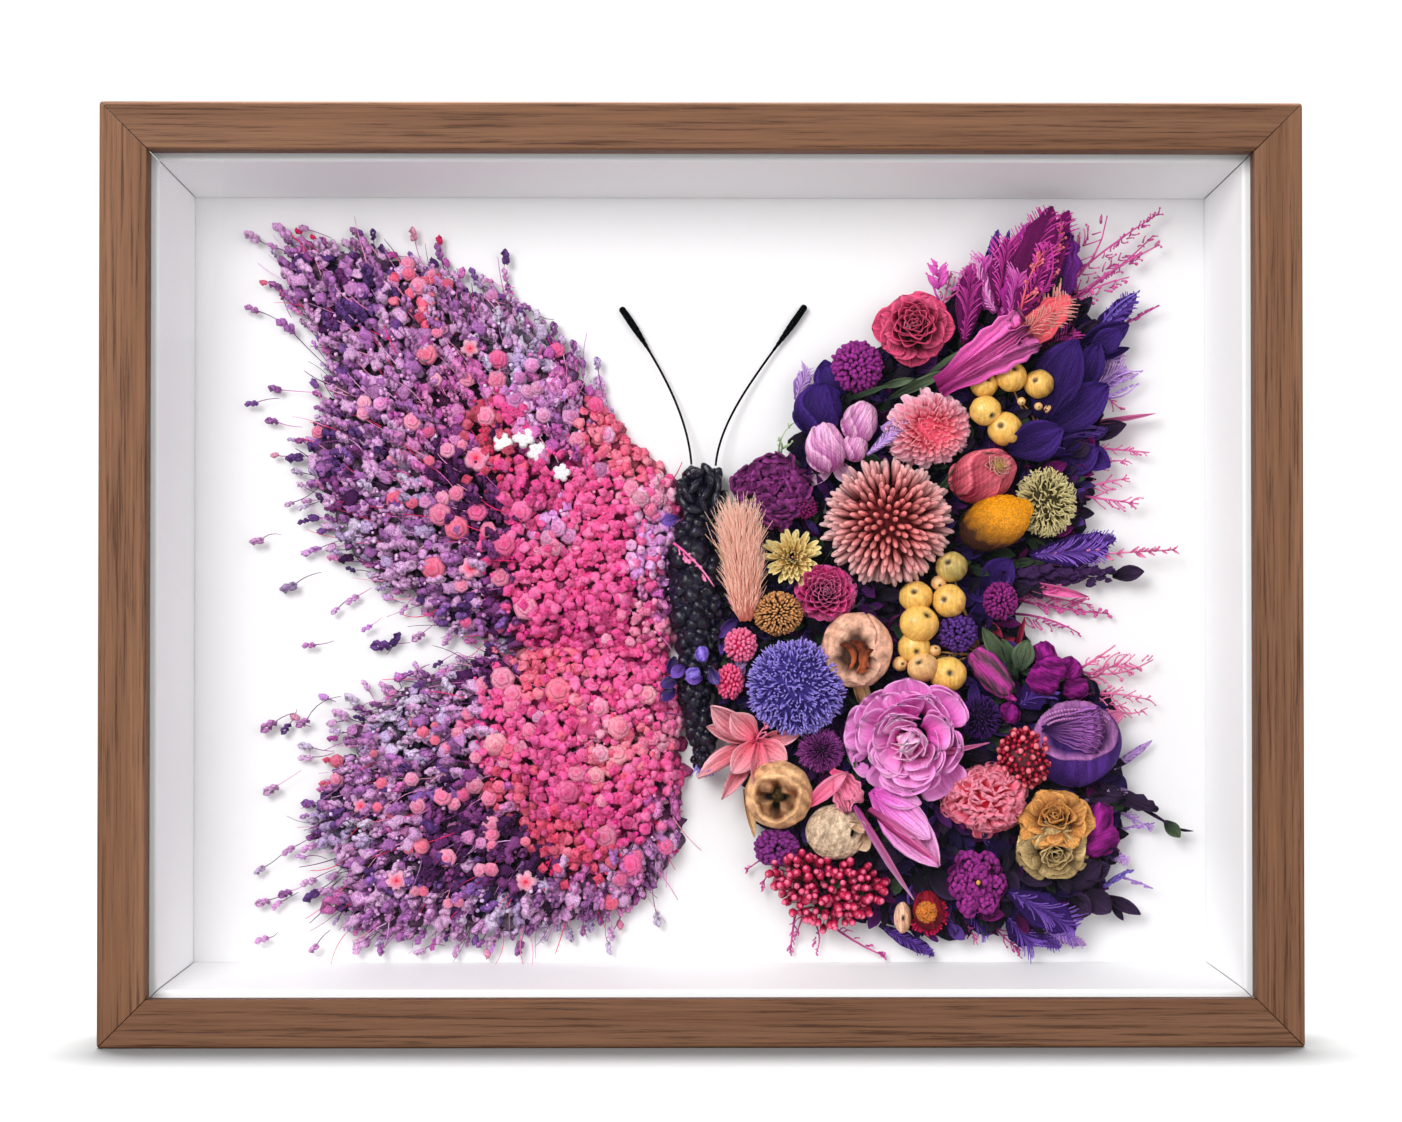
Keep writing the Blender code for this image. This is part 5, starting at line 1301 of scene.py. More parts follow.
def makePod(shape, deep, rim, turn=0.0, stretch=(1, 1), eye=(30, 16, 10)):
    def make(heap, spot):
        radius, tall = headSize(spot)
        c, s = math.cos(math.radians(turn)), math.sin(math.radians(turn))
        spin = np.array([[c, -s, 0], [s, c, 0], [0, 0, 1]]) @ np.diag((radius * stretch[0], radius
                                                                       * stretch[1], tall / 2))
        addCopies(heap, shapes[shape], spin[None], [(0, 0, tall / 2)], paint(*deep), paint(*rim), paint(*eye))
    return make


def makeOpenPod(heap, spot):
    # the eye colour paints the inside of the split near-black as shade
    makePod("shell", (104, 50, 28), (214, 164, 136), eye=(26, 4, 2))(heap, spot)
    radius, tall = headSize(spot)
    walls = ((-0.42, 0.16, -0.2, -0.5, -0.3), (-0.2, 0.24, -0.02, -0.6, -0.28),
             (0.02, 0.22, 0.1, -0.62, -0.16), (0.2, 0.12, 0.24, -0.58, 0.2), (0.36, 0.02, 0.3, -0.46, 0.26))
    for n, (x0, z0, x1, z1, bend) in enumerate(walls):     # folded walls in the opening
        ends = [(x0 * radius, z0 * radius, tall * 0.9)], [(x1 * radius, z1 * radius, tall * 0.8)]
        addStalks(heap, shapes["stalk"], *ends, (1.5, 1.0)[n % 2], bend, paint(70, 22, 10),
                  paint(170, 86, 50), 0.7)


def makePoppyPod(heap, spot):
    # the eye colour paints the chambers near-black as shade
    makePod("poppy", (86, 46, 20), (206, 164, 112), 10, eye=(8, 3, 1))(heap, spot)
    heart = 0.26 * headSize(spot)[0]     # radius of the seeds in its mouth
    addFlorets(heap, {**spot, "halfWidth": heart, "halfLength": heart}, shapes["lump"], 16, 0.5,
               paint(14, 8, 2), paint(62, 46, 14), None, 100, 0.6)


def makeTanPod(heap, spot):
    # the eye colour paints the torn hole dark as shade
    makePod("paper", (104, 78, 46), (226, 204, 164), -20, eye=(20, 12, 6))(heap, spot)
    radius, tall = headSize(spot)
    for x, z, turn, size in ((0.5, 0.75, 200, 8), (0.9, 0.2, 250, 9), (0.35, 0.3, 340, 6)):     # torn flaps
        a = math.radians(turn)
        way = np.array([(math.cos(a), math.sin(a), -0.2)])
        start = [(x * radius, z * radius, tall * (0.98 - 0.4 * (x * x + z * z)))]
        addCopies(heap, forms["broad"], pointing(way, np.array([(0.2, 0.1, 1.0)])) * (size * 0.8, size, size),
                  start, paint(140, 106, 64), paint(226, 200, 158))


def makeBulbs(bulbs, deep, rim, leaves=()):
    def make(heap, spot):     # closed buds with overlapping edges: x, z, half width, half length, turn
        for x, z, wide, long, turn, lift in bulbs:
            part = []
            makePod("husk", deep, rim, turn)(part, unitSpot)
            addMoved(heap, part, (x - spot["x"], z - spot["z"], lift - 6), (wide, long, min(wide, long)))
        for leaf in leaves:
            part = []
            addSpray(part, *leaf)
            addMoved(heap, part, (-spot["x"], -spot["z"], -6))
    return make


def makeVioletTulip(heap, spot):
    makePod("cup", (20, 4, 52), (58, 28, 108), eye=(136, 84, 150))(heap, spot)
    radius, tall = headSize(spot)
    for n in range(13):     # crinkled petals that fill the mouth
        a = math.radians(-42 + n * 7)
        turn = pointing(np.array([(math.cos(a), math.sin(a) * 0.5, 0.02)]),
                        np.array([(-0.05, 0.4 * math.sin(3 * n), 1.0)]))
        addCopies(heap, forms["crest"], turn * np.array((0.3 * radius, 1.36 * radius, radius)),
                  [(-0.76 * radius, 0.36 * radius, tall * 0.66)], paint(28, 6, 62) * (0.9 + 0.1 * (n % 3)),
                  paint(132, 78, 160))
    swing = np.linspace(0.4, 2.7, 26)
    for shift in (0.0, 0.07, 0.15):     # striped folds along the back of the mouth
        ring = np.column_stack([np.cos(swing) * (0.82 - shift) * radius - 0.06 * radius, (0.4 - 0.4 * shift)
                                * radius + np.sin(swing) * (0.42 - shift) * radius, np.full(26, tall * 0.84)])
        addStalks(heap, shapes["stalk"], ring[:-1], ring[1:], 0.5, 0.0, paint(84, 36, 116),
                  paint(168, 112, 176), 1.0)


orchidBulbs = [(43.1, 202.2, 6.5, 7.6, 6, 15), (55, 211.5, 5.8, 6.4, -30, 14),
               (53.4, 202.9, 4.2, 4.6, -24, 16)]
violetBulbs = [(39.8, 215.1, 8.8, 8.4, -16, 11), (45.6, 226, 6, 5.6, 20, 9)]
heads = {
    "rose": (makeRose, papery, "rose_petals", (73.6, 243.3, 14.4, 13.4)),
    "dahlia": (makeDahlia, lightPetal, "pink_petals", (77.8, 208.7, 15.5, 14)),
    "orchid_tulip": (makeBulbs(orchidBulbs, (128, 36, 110), (222, 148, 200), [
        ("leaf", 46, 199, 40, 189, 7, 12, "orchidPale"), ("leaf", 47, 199, 52, 190, 6, 13, "orchidPale")]),
        papery, "orchid_petals", (48.4, 203.6, 12.6, 14.6)),
    "violet_petals": (makeBulbs(violetBulbs, (12, 2, 36), (52, 26, 98)), smoothPetal, "violet_petals",
                      (41.5, 218.6, 10, 12.6)),
    "strawflower": (makeStrawflower, lightPetal, "yellow_petals", (31.1, 164.3, 10.7, 10.3)),
    "ranunculus": (makeRanunculus, papery, "magenta_petals", (43.3, 151.9, 11, 10)),
    "peony": (makePeony, lightPetal, "orchid_petals", (70.4, 101.4, 21.3, 21.3)),
    "aster": (makeAster, softPetal, "purple_petals", (41.1, 97.5, 9, 8.3)),
    "carnation": (makeCarnation, lightPetal, "pink_petals", (97.9, 80.4, 15.5, 13.4)),
    "dried_rose": (makeDriedRose, podSkin, "tan_petals", (122.3, 68.7, 14.1, 15.8)),
    "violet_tulip": (makeVioletTulip, smoothPetal, "violet_petals", (129.3, 100, 15.8, 15.1)),
    "hydrangea": (makeHydrangea, softPetal, "purple_petals", (95.4, 51.4, 10.7, 12)),
    "globe_amaranth": (makeCoral(230, 0.42, (50, 0, 52), (150, 40, 136), "club", 0.42), softPetal,
                       "purple_petals", (54.1, 230.1, 9.6, 9.3)),
    "statice_cluster": (makeStatice, softPetal, "purple_petals", (25.2, 186.8, 15.5, 14.1)),
    "half_open_bud": (makeBud, papery, "bud", (97, 192.1, 12, 9.6)),
    "orange_pod": (makePod("orangePod", (50, 16, 0), (252, 164, 8), -62, (0.82, 1.1)), pebbleSkin,
                   "orange_pod", (101.8, 175.9, 13, 9.9)),
    "tan_ball": (makeCoral(420, 0.24, (70, 36, 10), (240, 190, 104), "club", 0.34), podSkin, "brown_pod",
                 (26.6, 144.7, 8.9, 7.9)),
    "pink_globe_upper": (makeCoral(110, 0.5, (214, 28, 88), (254, 136, 168), "club", 0.46), softPetal,
                         "hot_pink", (13.7, 134, 6, 6.2)),
    "pink_globe_lower": (makeCoral(100, 0.5, (240, 50, 116), (254, 136, 168), "club", 0.46), softPetal,
                         "hot_pink", (10.1, 121.3, 5.2, 6.5)),
    "blue_pompon": (makeCoral(1150, 0.2, (40, 32, 104), (118, 114, 192), "thin", 0.44, 34), softPetal,
                    "blue_petals", (32.8, 119.7, 17.8, 17.5)),
    "violet_globe": (makeCoral(190, 0.44, (24, 6, 60), (88, 54, 140), "club", 0.44), softPetal,
                     "violet_petals", (88.6, 138, 7.2, 6.9)),
    "magenta_globe": (makeCoral(190, 0.44, (56, 0, 48), (146, 32, 120), "club", 0.44), softPetal,
                      "purple_petals", (103.4, 149.2, 6.2, 6.7)),
    "purple_ball": (makeCoral(170, 0.5, (44, 0, 46), (138, 44, 132), "club", 0.5), softPetal,
                    "purple_petals", (26.2, 64.1, 8.1, 6.9)),
    "deep_purple_ball": (makeCoral(240, 0.4, (22, 4, 38), (72, 34, 100), "thin", 0.5), softPetal,
                         "purple_petals", (96.6, 108.9, 7.6, 8.3)),
    "tan_pod": (makeTanPod, podSkin, "tan_pod", (47.2, 69.7, 11.2, 9.6)),
    "globe_thistle": (makeGlobeThistle, papery, "thistle", (64.1, 176.4, 23.3, 22.6)),
    "olive_spiky_ball": (makeSpikyBall, podSkin, "olive", (119.1, 183.4, 10.9, 12.4)),
    "crimson_berries": (makeCrimsonBerries, berrySkin, "crimson_berries", (111.7, 95.2, 10, 11)),
    "orange_bud": (makeOrangeBud, papery, "bud", (76.2, 41.4, 9.6, 8)),
    "open_pod": (makeOpenPod, huskSkin, "tan_pod", (53.6, 132.3, 12.4, 12.9)),
    "poppy_pod": (makePoppyPod, huskSkin, "brown_pod", (26.7, 82.5, 11.7, 11.7))}


shades = {     # how much each head's colours are lifted or deepened
    "rose": (1, 1.15, 1.3), "dahlia": (1.2, 1.75, 1.8), "orchid_tulip": (0.9, 1.35, 0.92),
    "strawflower": (1.6, 1.7, 2), "ranunculus": (1.9, 2.4, 1.8), "peony": (1.25, 1.45, 1.25),
    "aster": (0.65, 0.53, 0.46), "carnation": (1.4, 1.25, 1.5), "dried_rose": (0.78, 0.8, 0.84),
    "violet_tulip": (1.1, 1.1, 0.82), "hydrangea": (0.55, 0.42, 0.5), "globe_amaranth": (0.6, 0.72, 0.6),
    "statice_cluster": (0.44, 0.5, 0.44), "half_open_bud": (1.15, 1.8, 1.8),
    "orange_pod": (0.68, 0.66, 0.17), "tan_ball": (0.52, 0.42, 0.6), "pink_globe_upper": (1.2, 1.2, 1.4),
    "pink_globe_lower": (1.6, 1.1, 1.5), "blue_pompon": (1.5, 1.25, 1.08), "violet_globe": (0.7, 0.55, 0.57),
    "magenta_globe": (0.6, 0.85, 0.64), "purple_ball": (0.54, 0.64, 0.57),
    "deep_purple_ball": (0.76, 0.56, 0.9), "tan_pod": (0.6, 0.56, 0.64), "globe_thistle": (0.54, 0.54, 0.6),
    "crimson_berries": (1, 1.2, 1.15), "orange_bud": (0.66, 0.66, 1.4), "open_pod": (0.8, 0.82, 0.88),
    "poppy_pod": (0.82, 0.78, 0.9)}


def pieceName(node):
    words = node.split("_")
    return words[0] + "".join(word.title() for word in words[1:])


def buildHeads():
    for node, (make, material, slot, place) in heads.items():
        heap = []
        spot = nodeSpot(node)
        spot.update(zip(("x", "z", "halfWidth", "halfLength"), place))
        make(heap, spot)
        fitInto(heap, spot)
        heap = [(*part[:3], part[3] * shades.get(node, (1, 1, 1)), part[4]) for part in heap]
        buildPiece(pieceName(node), heap, material, [node])
    print("flower heads placed")


sprayHues = {
    "orchid": ((130, 28, 110), (204, 100, 176)), "violetLeaf": ((38, 14, 74), (98, 64, 150)),
    "orchidPale": ((170, 66, 148), (236, 170, 218)), "lilyPink": ((222, 84, 112), (252, 184, 194)),
    "plumeDark": ((92, 12, 74), (176, 56, 138)), "pinkWisp": ((150, 48, 104), (214, 116, 166)),
    "purpleLeaf": ((40, 6, 56), (88, 28, 104)), "mauveWisp": ((120, 32, 90), (182, 80, 138)),
    "coralLeaf": ((220, 84, 96), (255, 176, 168)), "blackLeaf": ((14, 8, 18), (44, 28, 54)),
    "violetSpike": ((54, 36, 112), (112, 90, 170)), "deepViolet": ((16, 4, 38), (50, 26, 92)),
    "mauveSpike": ((92, 24, 76), (158, 62, 122)), "lilacLeaf": ((130, 96, 158), (196, 160, 208)),
    "lilacSpike": ((112, 78, 148), (176, 138, 196)), "veinedViolet": ((40, 16, 78), (112, 76, 162)),
    "orchidStem": ((160, 56, 110), (222, 130, 170)), "blackSpike": ((12, 4, 18), (58, 32, 74)),
    "redLeaf": ((80, 14, 34), (136, 36, 60)), "greenLeaf": ((34, 44, 34), (86, 98, 74)),
    "darkGreen": ((22, 34, 26), (66, 82, 58)), "magentaLeaf": ((54, 0, 50), (122, 24, 106)),
    "magentaSpike": ((92, 8, 70), (168, 48, 132)), "tanLeaf": ((152, 112, 78), (222, 186, 140)),
    "greenWisp": ((90, 110, 80), (152, 170, 130)), "pinkLeaf": ((200, 74, 116), (244, 150, 180)),
    "coralFrill": ((226, 84, 110), (252, 140, 150)), "thistleBand": ((36, 42, 32), (160, 46, 128))}

sprays = {
    "upper": [
        ("fern", 83, 253, 82, 267, 7, 9, "orchid"), ("feather", 98, 259, 103, 278, 4, 9, "violetLeaf"),
        ("feather", 103, 260, 107, 278, 3, 9, "violetLeaf"),
        ("feather", 91, 238, 94, 266, 9, 12, "plumeDark"), ("wisp", 85, 254, 99, 268, 5, 6, "pinkWisp"),
        ("wisp", 80, 243, 87, 264, 3, 5, "pinkWisp"), ("jagged", 121, 248, 126, 277, 13, 8, "purpleLeaf"),
        ("wisp", 118, 254, 141, 283, 9, 7, "mauveWisp"), ("wisp", 114, 248, 159, 284, 4, 8, "mauveWisp"),
        ("wisp", 116, 247, 158, 277, 4, 6, "mauveWisp"), ("beads", 118, 246, 159, 273, 3, 7, "mauveWisp"),
        ("beads", 121, 247, 149, 262, 3, 6, "mauveWisp"),
        ("feather", 107, 235, 127, 254, 12, 15, "coralLeaf"),
        ("feather", 105, 236, 121, 249, 8, 16, "coralLeaf"),
        ("leaf", 121, 238, 132, 254, 8, 6, "blackLeaf"), ("leaf", 125, 243, 136, 255, 6, 6, "blackLeaf"),
        ("leaf", 128, 233, 138, 247, 10, 6, "blackLeaf"),
        ("feather", 133, 236, 151, 256, 8, 7, "violetLeaf"),
        ("spike", 138, 243, 151, 256, 3, 8, "violetSpike"),
        ("leaf", 131, 237, 148, 246, 10, 8, "deepViolet"),
        ("spike", 144, 244, 159, 252, 2, 6, "mauveSpike"), ("leaf", 135, 235, 146, 243, 9, 9, "deepViolet"),
        ("leaf", 133, 233, 149, 238, 4, 5, "deepViolet"),
        ("feather", 116, 231, 130, 243, 8, 8, "plumeDark"), ("leaf", 111, 228, 131, 238, 7, 7, "blackLeaf"),
        ("feather", 135, 226, 147, 237, 6, 4, "lilacLeaf"),
        ("feather", 132, 221, 148, 231, 8, 4, "lilacLeaf"),
        ("leaf", 128, 219, 136, 239, 12, 12, "deepViolet"),
        ("leaf", 117, 212, 132, 238, 19, 12, "deepViolet"),
        ("leaf", 120, 208, 140, 224, 15, 14, "deepViolet"),
        ("leaf", 106, 201, 124, 210, 16, 14, "deepViolet"),
        ("feather", 117, 200, 133, 212, 14, 10, "violetLeaf"),
        ("spike", 139, 222, 153, 229, 2, 5, "lilacSpike"),
        ("spike", 141, 220, 152, 225, 2, 5, "lilacSpike"), ("wisp", 141, 221, 147, 216, 3, 4, "pinkWisp"),
        ("blade", 133, 211, 158, 215, 2, 5, "pinkWisp"), ("leaf", 134, 206, 148, 210, 7, 6, "blackLeaf"),
        ("leaf", 130, 202, 142, 195, 10, 6, "deepViolet"),
        ("leaf", 124, 195, 138, 202, 12, 7, "deepViolet"), ("leaf", 128, 200, 135, 203, 6, 9, "blackLeaf"),
        ("wisp", 135, 203, 156, 201, 3, 4, "pinkWisp"), ("wisp", 134, 195, 148, 198, 4, 4, "pinkWisp"),
        ("wisp", 132, 186, 152, 183, 7, 5, "pinkWisp"), ("wisp", 132, 188, 149, 192, 5, 5, "pinkWisp"),
        ("feather", 117, 166, 144, 171, 8, 9, "violetLeaf"),
        ("feather", 114, 165, 141, 167, 10, 9, "veinedViolet"),
        ("fern", 107, 163, 164, 167, 4, 8, "orchidStem"), ("spike", 103, 159, 143, 160, 8, 9, "blackSpike"),
        ("spike", 105, 156, 142, 157, 6, 7, "blackSpike"), ("leaf", 143, 158, 154, 159, 6, 6, "blackLeaf"),
        ("leaf", 98, 153, 107, 164, 12, 9, "deepViolet"), ("leaf", 90, 155, 104, 150, 10, 8, "deepViolet"),
        ("leaf", 107, 156, 135, 151, 4, 4, "pinkWisp"), ("wisp", 107, 153, 136, 148, 5, 5, "pinkWisp"),
        ("wisp", 27, 198, 31, 210, 3, 10, "greenWisp"), ("feather", 33, 219, 37, 230, 6, 8, "lilacLeaf"),
        ("leaf", 45, 219, 43, 233, 10, 8, "deepViolet"), ("leaf", 65, 219, 86, 228, 4, 12, "greenLeaf"),
        ("leaf", 62, 223, 74, 226, 3, 12, "greenLeaf"), ("blade", 51, 219, 65, 224, 2, 12, "darkGreen"),
        ("blade", 77, 226, 91, 236, 2, 12, "greenLeaf"), ("blade", 62, 208, 74, 213, 3, 16, "lilacLeaf"),
        ("feather", 57, 199, 71, 211, 4, 18, "lilacLeaf"), ("blade", 79, 184, 91, 200, 3, 12, "darkGreen"),
        ("leaf", 88, 196, 103, 200, 5, 13, "darkGreen"), ("blade", 13, 153, 4, 170, 1, 12, "tanLeaf")],
    "lower": [
        ("leaf", 95, 136, 98, 150, 9, 7, "deepViolet"), ("beads", 109, 150, 142, 145, 4, 4, "mauveWisp"),
        ("wisp", 109, 145, 132, 138, 3, 4, "mauveWisp"), ("wisp", 109, 150, 125, 154, 3, 5, "mauveWisp"),
        ("leaf", 104, 132, 100, 143, 6, 6, "redLeaf"), ("leaf", 104, 134, 109, 137, 3, 6, "redLeaf"),
        ("leaf", 107, 125, 97, 141, 6, 9, "greenLeaf"), ("leaf", 109, 122, 103, 136, 6, 9, "darkGreen"),
        ("leaf", 110, 125, 113, 136, 8, 10, "greenLeaf"), ("leaf", 111, 125, 126, 122, 5, 9, "greenLeaf"),
        ("leaf", 109, 131, 112, 144, 2, 7, "redLeaf"), ("bud", 115, 127, 127, 125, 9, 12, "magentaLeaf"),
        ("bud", 121, 125, 117, 136, 8, 10, "magentaLeaf"),
        ("bud", 124, 122, 131, 129, 9, 10, "magentaLeaf"),
        ("bud", 112, 125, 124, 119, 10, 13, "magentaLeaf"),
        ("bud", 124, 119, 135, 119, 8, 9, "magentaLeaf"),
        ("spike", 105, 119, 109, 115, 6, 12, "magentaSpike"),
        ("feather", 110, 113, 119, 119, 10, 10, "violetLeaf"),
        ("bud", 104, 108, 110, 113, 8, 8, "magentaLeaf"), ("wisp", 131, 125, 157, 129, 7, 5, "orchidStem"),
        ("wisp", 132, 126, 144, 134, 3, 5, "orchidStem"), ("beads", 132, 122, 152, 126, 6, 5, "orchidStem"),
        ("wisp", 133, 117, 156, 115, 6, 5, "orchidStem"), ("wisp", 135, 115, 154, 111, 6, 5, "orchidStem"),
        ("leaf", 137, 106, 147, 111, 6, 4, "orchidStem"), ("feather", 140, 89, 157, 101, 3, 4, "lilacLeaf"),
        ("feather", 133, 80, 148, 84, 4, 6, "lilacLeaf"), ("jagged", 131, 84, 146, 81, 9, 8, "blackLeaf"),
        ("jagged", 140, 83, 158, 76, 6, 7, "blackLeaf"), ("blade", 148, 80, 163, 71, 1.4, 7, "blackLeaf"),
        ("leaf", 161, 73, 166, 67, 5, 6, "darkGreen"), ("blade", 163, 71, 171, 70, 1, 6, "blackLeaf"),
        ("bud", 133, 63, 141, 81, 10, 9, "magentaLeaf"), ("bud", 128, 63, 146, 70, 12, 8, "magentaLeaf"),
        ("wisp", 142, 77, 157, 70, 3, 4, "lilacSpike"), ("spike", 145, 70, 157, 72, 2, 4, "lilacSpike"),
        ("spike", 144, 65, 146, 59, 3, 5, "mauveSpike"), ("feather", 140, 63, 148, 59, 4, 5, "lilacLeaf"),
        ("leaf", 124, 51, 138, 60, 12, 8, "blackLeaf"), ("leaf", 126, 46, 135, 41, 10, 8, "blackLeaf"),
        ("leaf", 133, 49, 142, 42, 9, 9, "blackLeaf"), ("leaf", 133, 53, 142, 57, 8, 9, "blackLeaf"),
        ("spike", 140, 51, 149, 56, 5, 8, "violetSpike"), ("spike", 147, 53, 156, 50, 3, 6, "lilacSpike"),
        ("leaf", 140, 47, 152, 40, 5, 6, "blackLeaf"), ("leaf", 142, 46, 147, 39, 3, 6, "blackLeaf"),
        ("feather", 106, 49, 129, 36, 12, 12, "veinedViolet"),
        ("feather", 118, 35, 134, 30, 4, 6, "lilacLeaf"), ("feather", 106, 40, 115, 30, 9, 6, "violetLeaf"),
        ("feather", 111, 37, 125, 29, 5, 6, "violetLeaf"), ("wisp", 99, 40, 111, 28, 5, 5, "mauveSpike"),
        ("feather", 90, 46, 100, 33, 7, 5, "violetLeaf"), ("wisp", 90, 40, 96, 30, 3, 4, "mauveWisp"),
        ("feather", 74, 33, 81, 26, 3, 5, "violetLeaf"), ("feather", 62, 37, 80, 27, 5, 5, "violetLeaf"),
        ("wisp", 45, 37, 64, 26, 3, 4, "mauveWisp"), ("wisp", 33, 42, 31, 27, 2, 4, "mauveWisp"),
        ("wisp", 36, 41, 33, 33, 2, 4, "mauveWisp"), ("wisp", 40, 37, 40, 27, 1, 4, "mauveWisp"),
        ("wisp", 23, 61, 16, 56, 2, 4, "mauveWisp"), ("wisp", 24, 56, 21, 50, 2, 4, "mauveWisp"),
        ("leaf", 15, 84, 18, 67, 3, 5, "tanLeaf"), ("feather", 12, 115, 14, 136, 5, 6, "lilacLeaf"),
        ("leaf", 59, 108, 50, 127, 6, 6, "tanLeaf"), ("leaf", 36, 78, 51, 90, 6, 14, "pinkLeaf"),
        ("blade", 70, 95, 99, 101, 2, 15, "pinkWisp"), ("leaf", 52, 60, 71, 63, 10, 8, "blackLeaf"),
        ("leaf", 79, 56, 90, 46, 10, 8, "blackLeaf"), ("leaf", 100, 56, 109, 46, 12, 8, "blackLeaf"),
        ("leaf", 107, 60, 121, 51, 10, 8, "blackLeaf"),
        ("bud", 92.9, 134.1, 107.4, 115.1, 10, 12, "thistleBand"),
        ("jagged", 45, 91, 56, 80, 8, 14, "pinkLeaf"), ("crest", 46, 90, 50, 76, 7, 15, "pinkLeaf")]}

plume = [
    ("feather", 107, 246, 121, 285, 13, 14, "plumeDark"), ("feather", 104, 247, 114, 280, 11, 12, "orchid"),
    ("feather", 111, 248, 127, 284, 11, 11, "plumeDark"),
    ("feather", 102, 249, 92, 265, 9, 12, "orchidPale"), ("feather", 100, 251, 89, 259, 7, 10, "orchid"),
    ("feather", 103, 251, 106, 274, 11, 13, "plumeDark"), ("feather", 98, 250, 98, 268, 9, 11, "orchid"),
    ("feather", 113, 252, 120, 272, 8, 15, "plumeDark"), ("beads", 116, 252, 125, 280, 5, 16, "coralFrill"),
    ("feather", 106, 247, 110, 262, 10, 15, "orchid"), ("feather", 108, 246, 118, 262, 9, 16, "plumeDark"),
    ("beads", 112, 250, 120, 272, 5, 17, "plumeDark"), ("beads", 110, 249, 117, 268, 5, 17, "coralFrill")]

lily = [
    ("lance", 19, 101, 3.6, 115.4, 10, 10, "lilyPink"), ("lance", 19, 101, 0.8, 105.7, 7, 8, "lilyPink"),
    ("lance", 19.5, 100.5, 0.2, 84.6, 7, 8, "lilyPink"), ("lance", 19.5, 100.5, 6, 80.4, 6, 9, "lilyPink"),
    ("lance", 19.5, 100.5, 16.9, 83, 9, 13, "lilyPink"), ("lance", 19.5, 101, 30, 93.5, 8, 10, "lilyPink"),
    ("lance", 19.5, 101, 34.6, 103.5, 6, 9, "lilyPink"), ("lance", 19, 101.5, 9.6, 111, 10, 12, "lilyPink"),
    ("lance", 19, 101, 10, 89, 9, 12, "lilyPink"), ("beads", 19, 101, 22, 106, 2, 13, "pinkLeaf")]


def addSpray(heap, kind, x0, z0, x1, z1, width, lift, hue):
    deep, rim = (paint(*colour) * dice.normal(1, 0.1) for colour in sprayHues[hue])
    start, end = np.array((x0, z0, lift - 0.8)), np.array((x1, z1, max(lift + dice.normal(0, 1.2), 2.2)))
    way, long = end - start, np.linalg.norm(end - start)
    up = unit(upward + dice.normal(0, 0.2, 3))
    side = unit(np.cross(way, up))
    if kind == "bud":
        turn = pointing(way[None], up[None]) * np.array((width / 2, long / 2, width / 2))
        addCopies(heap, shapes["knobs"], turn, [(start + end) / 2], deep, rim)
        return
    if kind == "feather":     # a leaf with raised barbs along both sides
        addCopies(heap, forms["flat"], pointing(way[None], up[None]) * (width, long, long), [start], deep
                  * 0.45, deep * 0.8)
        count = max(12, int(long / 0.8))
        f = np.linspace(0.03, 0.93, count)
        for swing in (-1.0, 1.0):
            reach = width * 0.5 * np.sin(math.pi * f ** 0.8).clip(0.12) * dice.uniform(0.85, 1.2, count)
            reach = reach[:, None]
            base = start + way * f[:, None] + up * 0.3
            tips = base + side * swing * reach + unit(way) * reach * dice.uniform(1.4, 2.3, (count, 1))
            tips = tips + up * dice.uniform(-0.2, 0.9, (count, 1))
            addStalks(heap, shapes["stalk"], base, tips, 0.33, -swing * 0.1, deep, rim
                      * dice.normal(1, 0.16, (count, 1)), 0.6)
        addStalks(heap, shapes["stalk"], [start + up * 0.3], [end + up * 0.3], 0.45, 0.0, deep, rim, 0.4)
        return
    if kind in ("leaf", "crest", "blade", "strap", "lance", "jagged"):
        form = "leafy" if kind == "leaf" else kind
        turn = pointing(way[None], up[None]) * np.array((width, long, long))
        addCopies(heap, forms[form], turn, [start], deep, rim)
        if kind in ("leaf", "jagged"):     # its midrib
            addStalks(heap, shapes["stalk"], [start + (0, 0, 0.1)], [start + way * 0.9 + (0, 0, long * 0.12)],
                      0.2, 0.0, deep, rim * 1.1)
        return
    thick = 0.56 if long > 14 else 0.42
    addStalks(heap, shapes["stalk"], [start], [end], thick, dice.normal(0, 0.06), deep, rim, 0.5)
    if kind == "spike":
        count = max(3, int(long / 1.9))
        f = np.linspace(0.1, 1, count)[:, None]
        size = np.interp(f[:, 0], (0, 0.6, 1), (0.9, 1, 0.55)) * max(width * 0.36, 1.2)
        turns = pointing(np.repeat(way[None], count, 0) + dice.normal(0, 0.15, (count, 3)),
                         np.repeat(up[None], count, 0))
        form = shapes["crumple" if width > 5 else "headA"]
        jolt = dice.normal(0, width * 0.1, (count, 3))
        addCopies(heap, form, turns * size[:, None, None] * 0.8, start + way * f + jolt, deep, rim, deep
                  * 0.5)
        return
    count = max(5, int(long / 1.5))
    f = np.sort(dice.uniform(0.12, 1, count))[:, None]
    sway = np.where(dice.random(count) < 0.5, 1.0, -1.0)[:, None] * side
    base = start + way * f
    reach = (width * 0.7 + 1.2) * (1.1 - f * 0.7) * dice.uniform(0.5, 1.1, (count, 1))
    tips = base + (sway * 0.75 + unit(way) * 1.1 + up * dice.uniform(-0.1, 0.3, (count, 1))) * reach
    addStalks(heap, shapes["stalk"], base, tips, 0.34, dice.normal(0, 0.12, count), deep, rim, 0.6)
    if kind == "fern":
        turns = pointing(tips - base, np.repeat(up[None], count, 0)) * np.column_stack([reach * 0.5, reach
                                                                                        * 1.3, reach])[:,
                                                                                                       None,
                                                                                                       :]
        addCopies(heap, forms["leafy"], turns, base, deep, rim)
    size = dice.uniform(0.45, 0.85, count) if kind == "beads" else dice.uniform(0.25, 0.5, count)
    addCopies(heap, shapes["ball"], sized(size), tips, deep, rim)


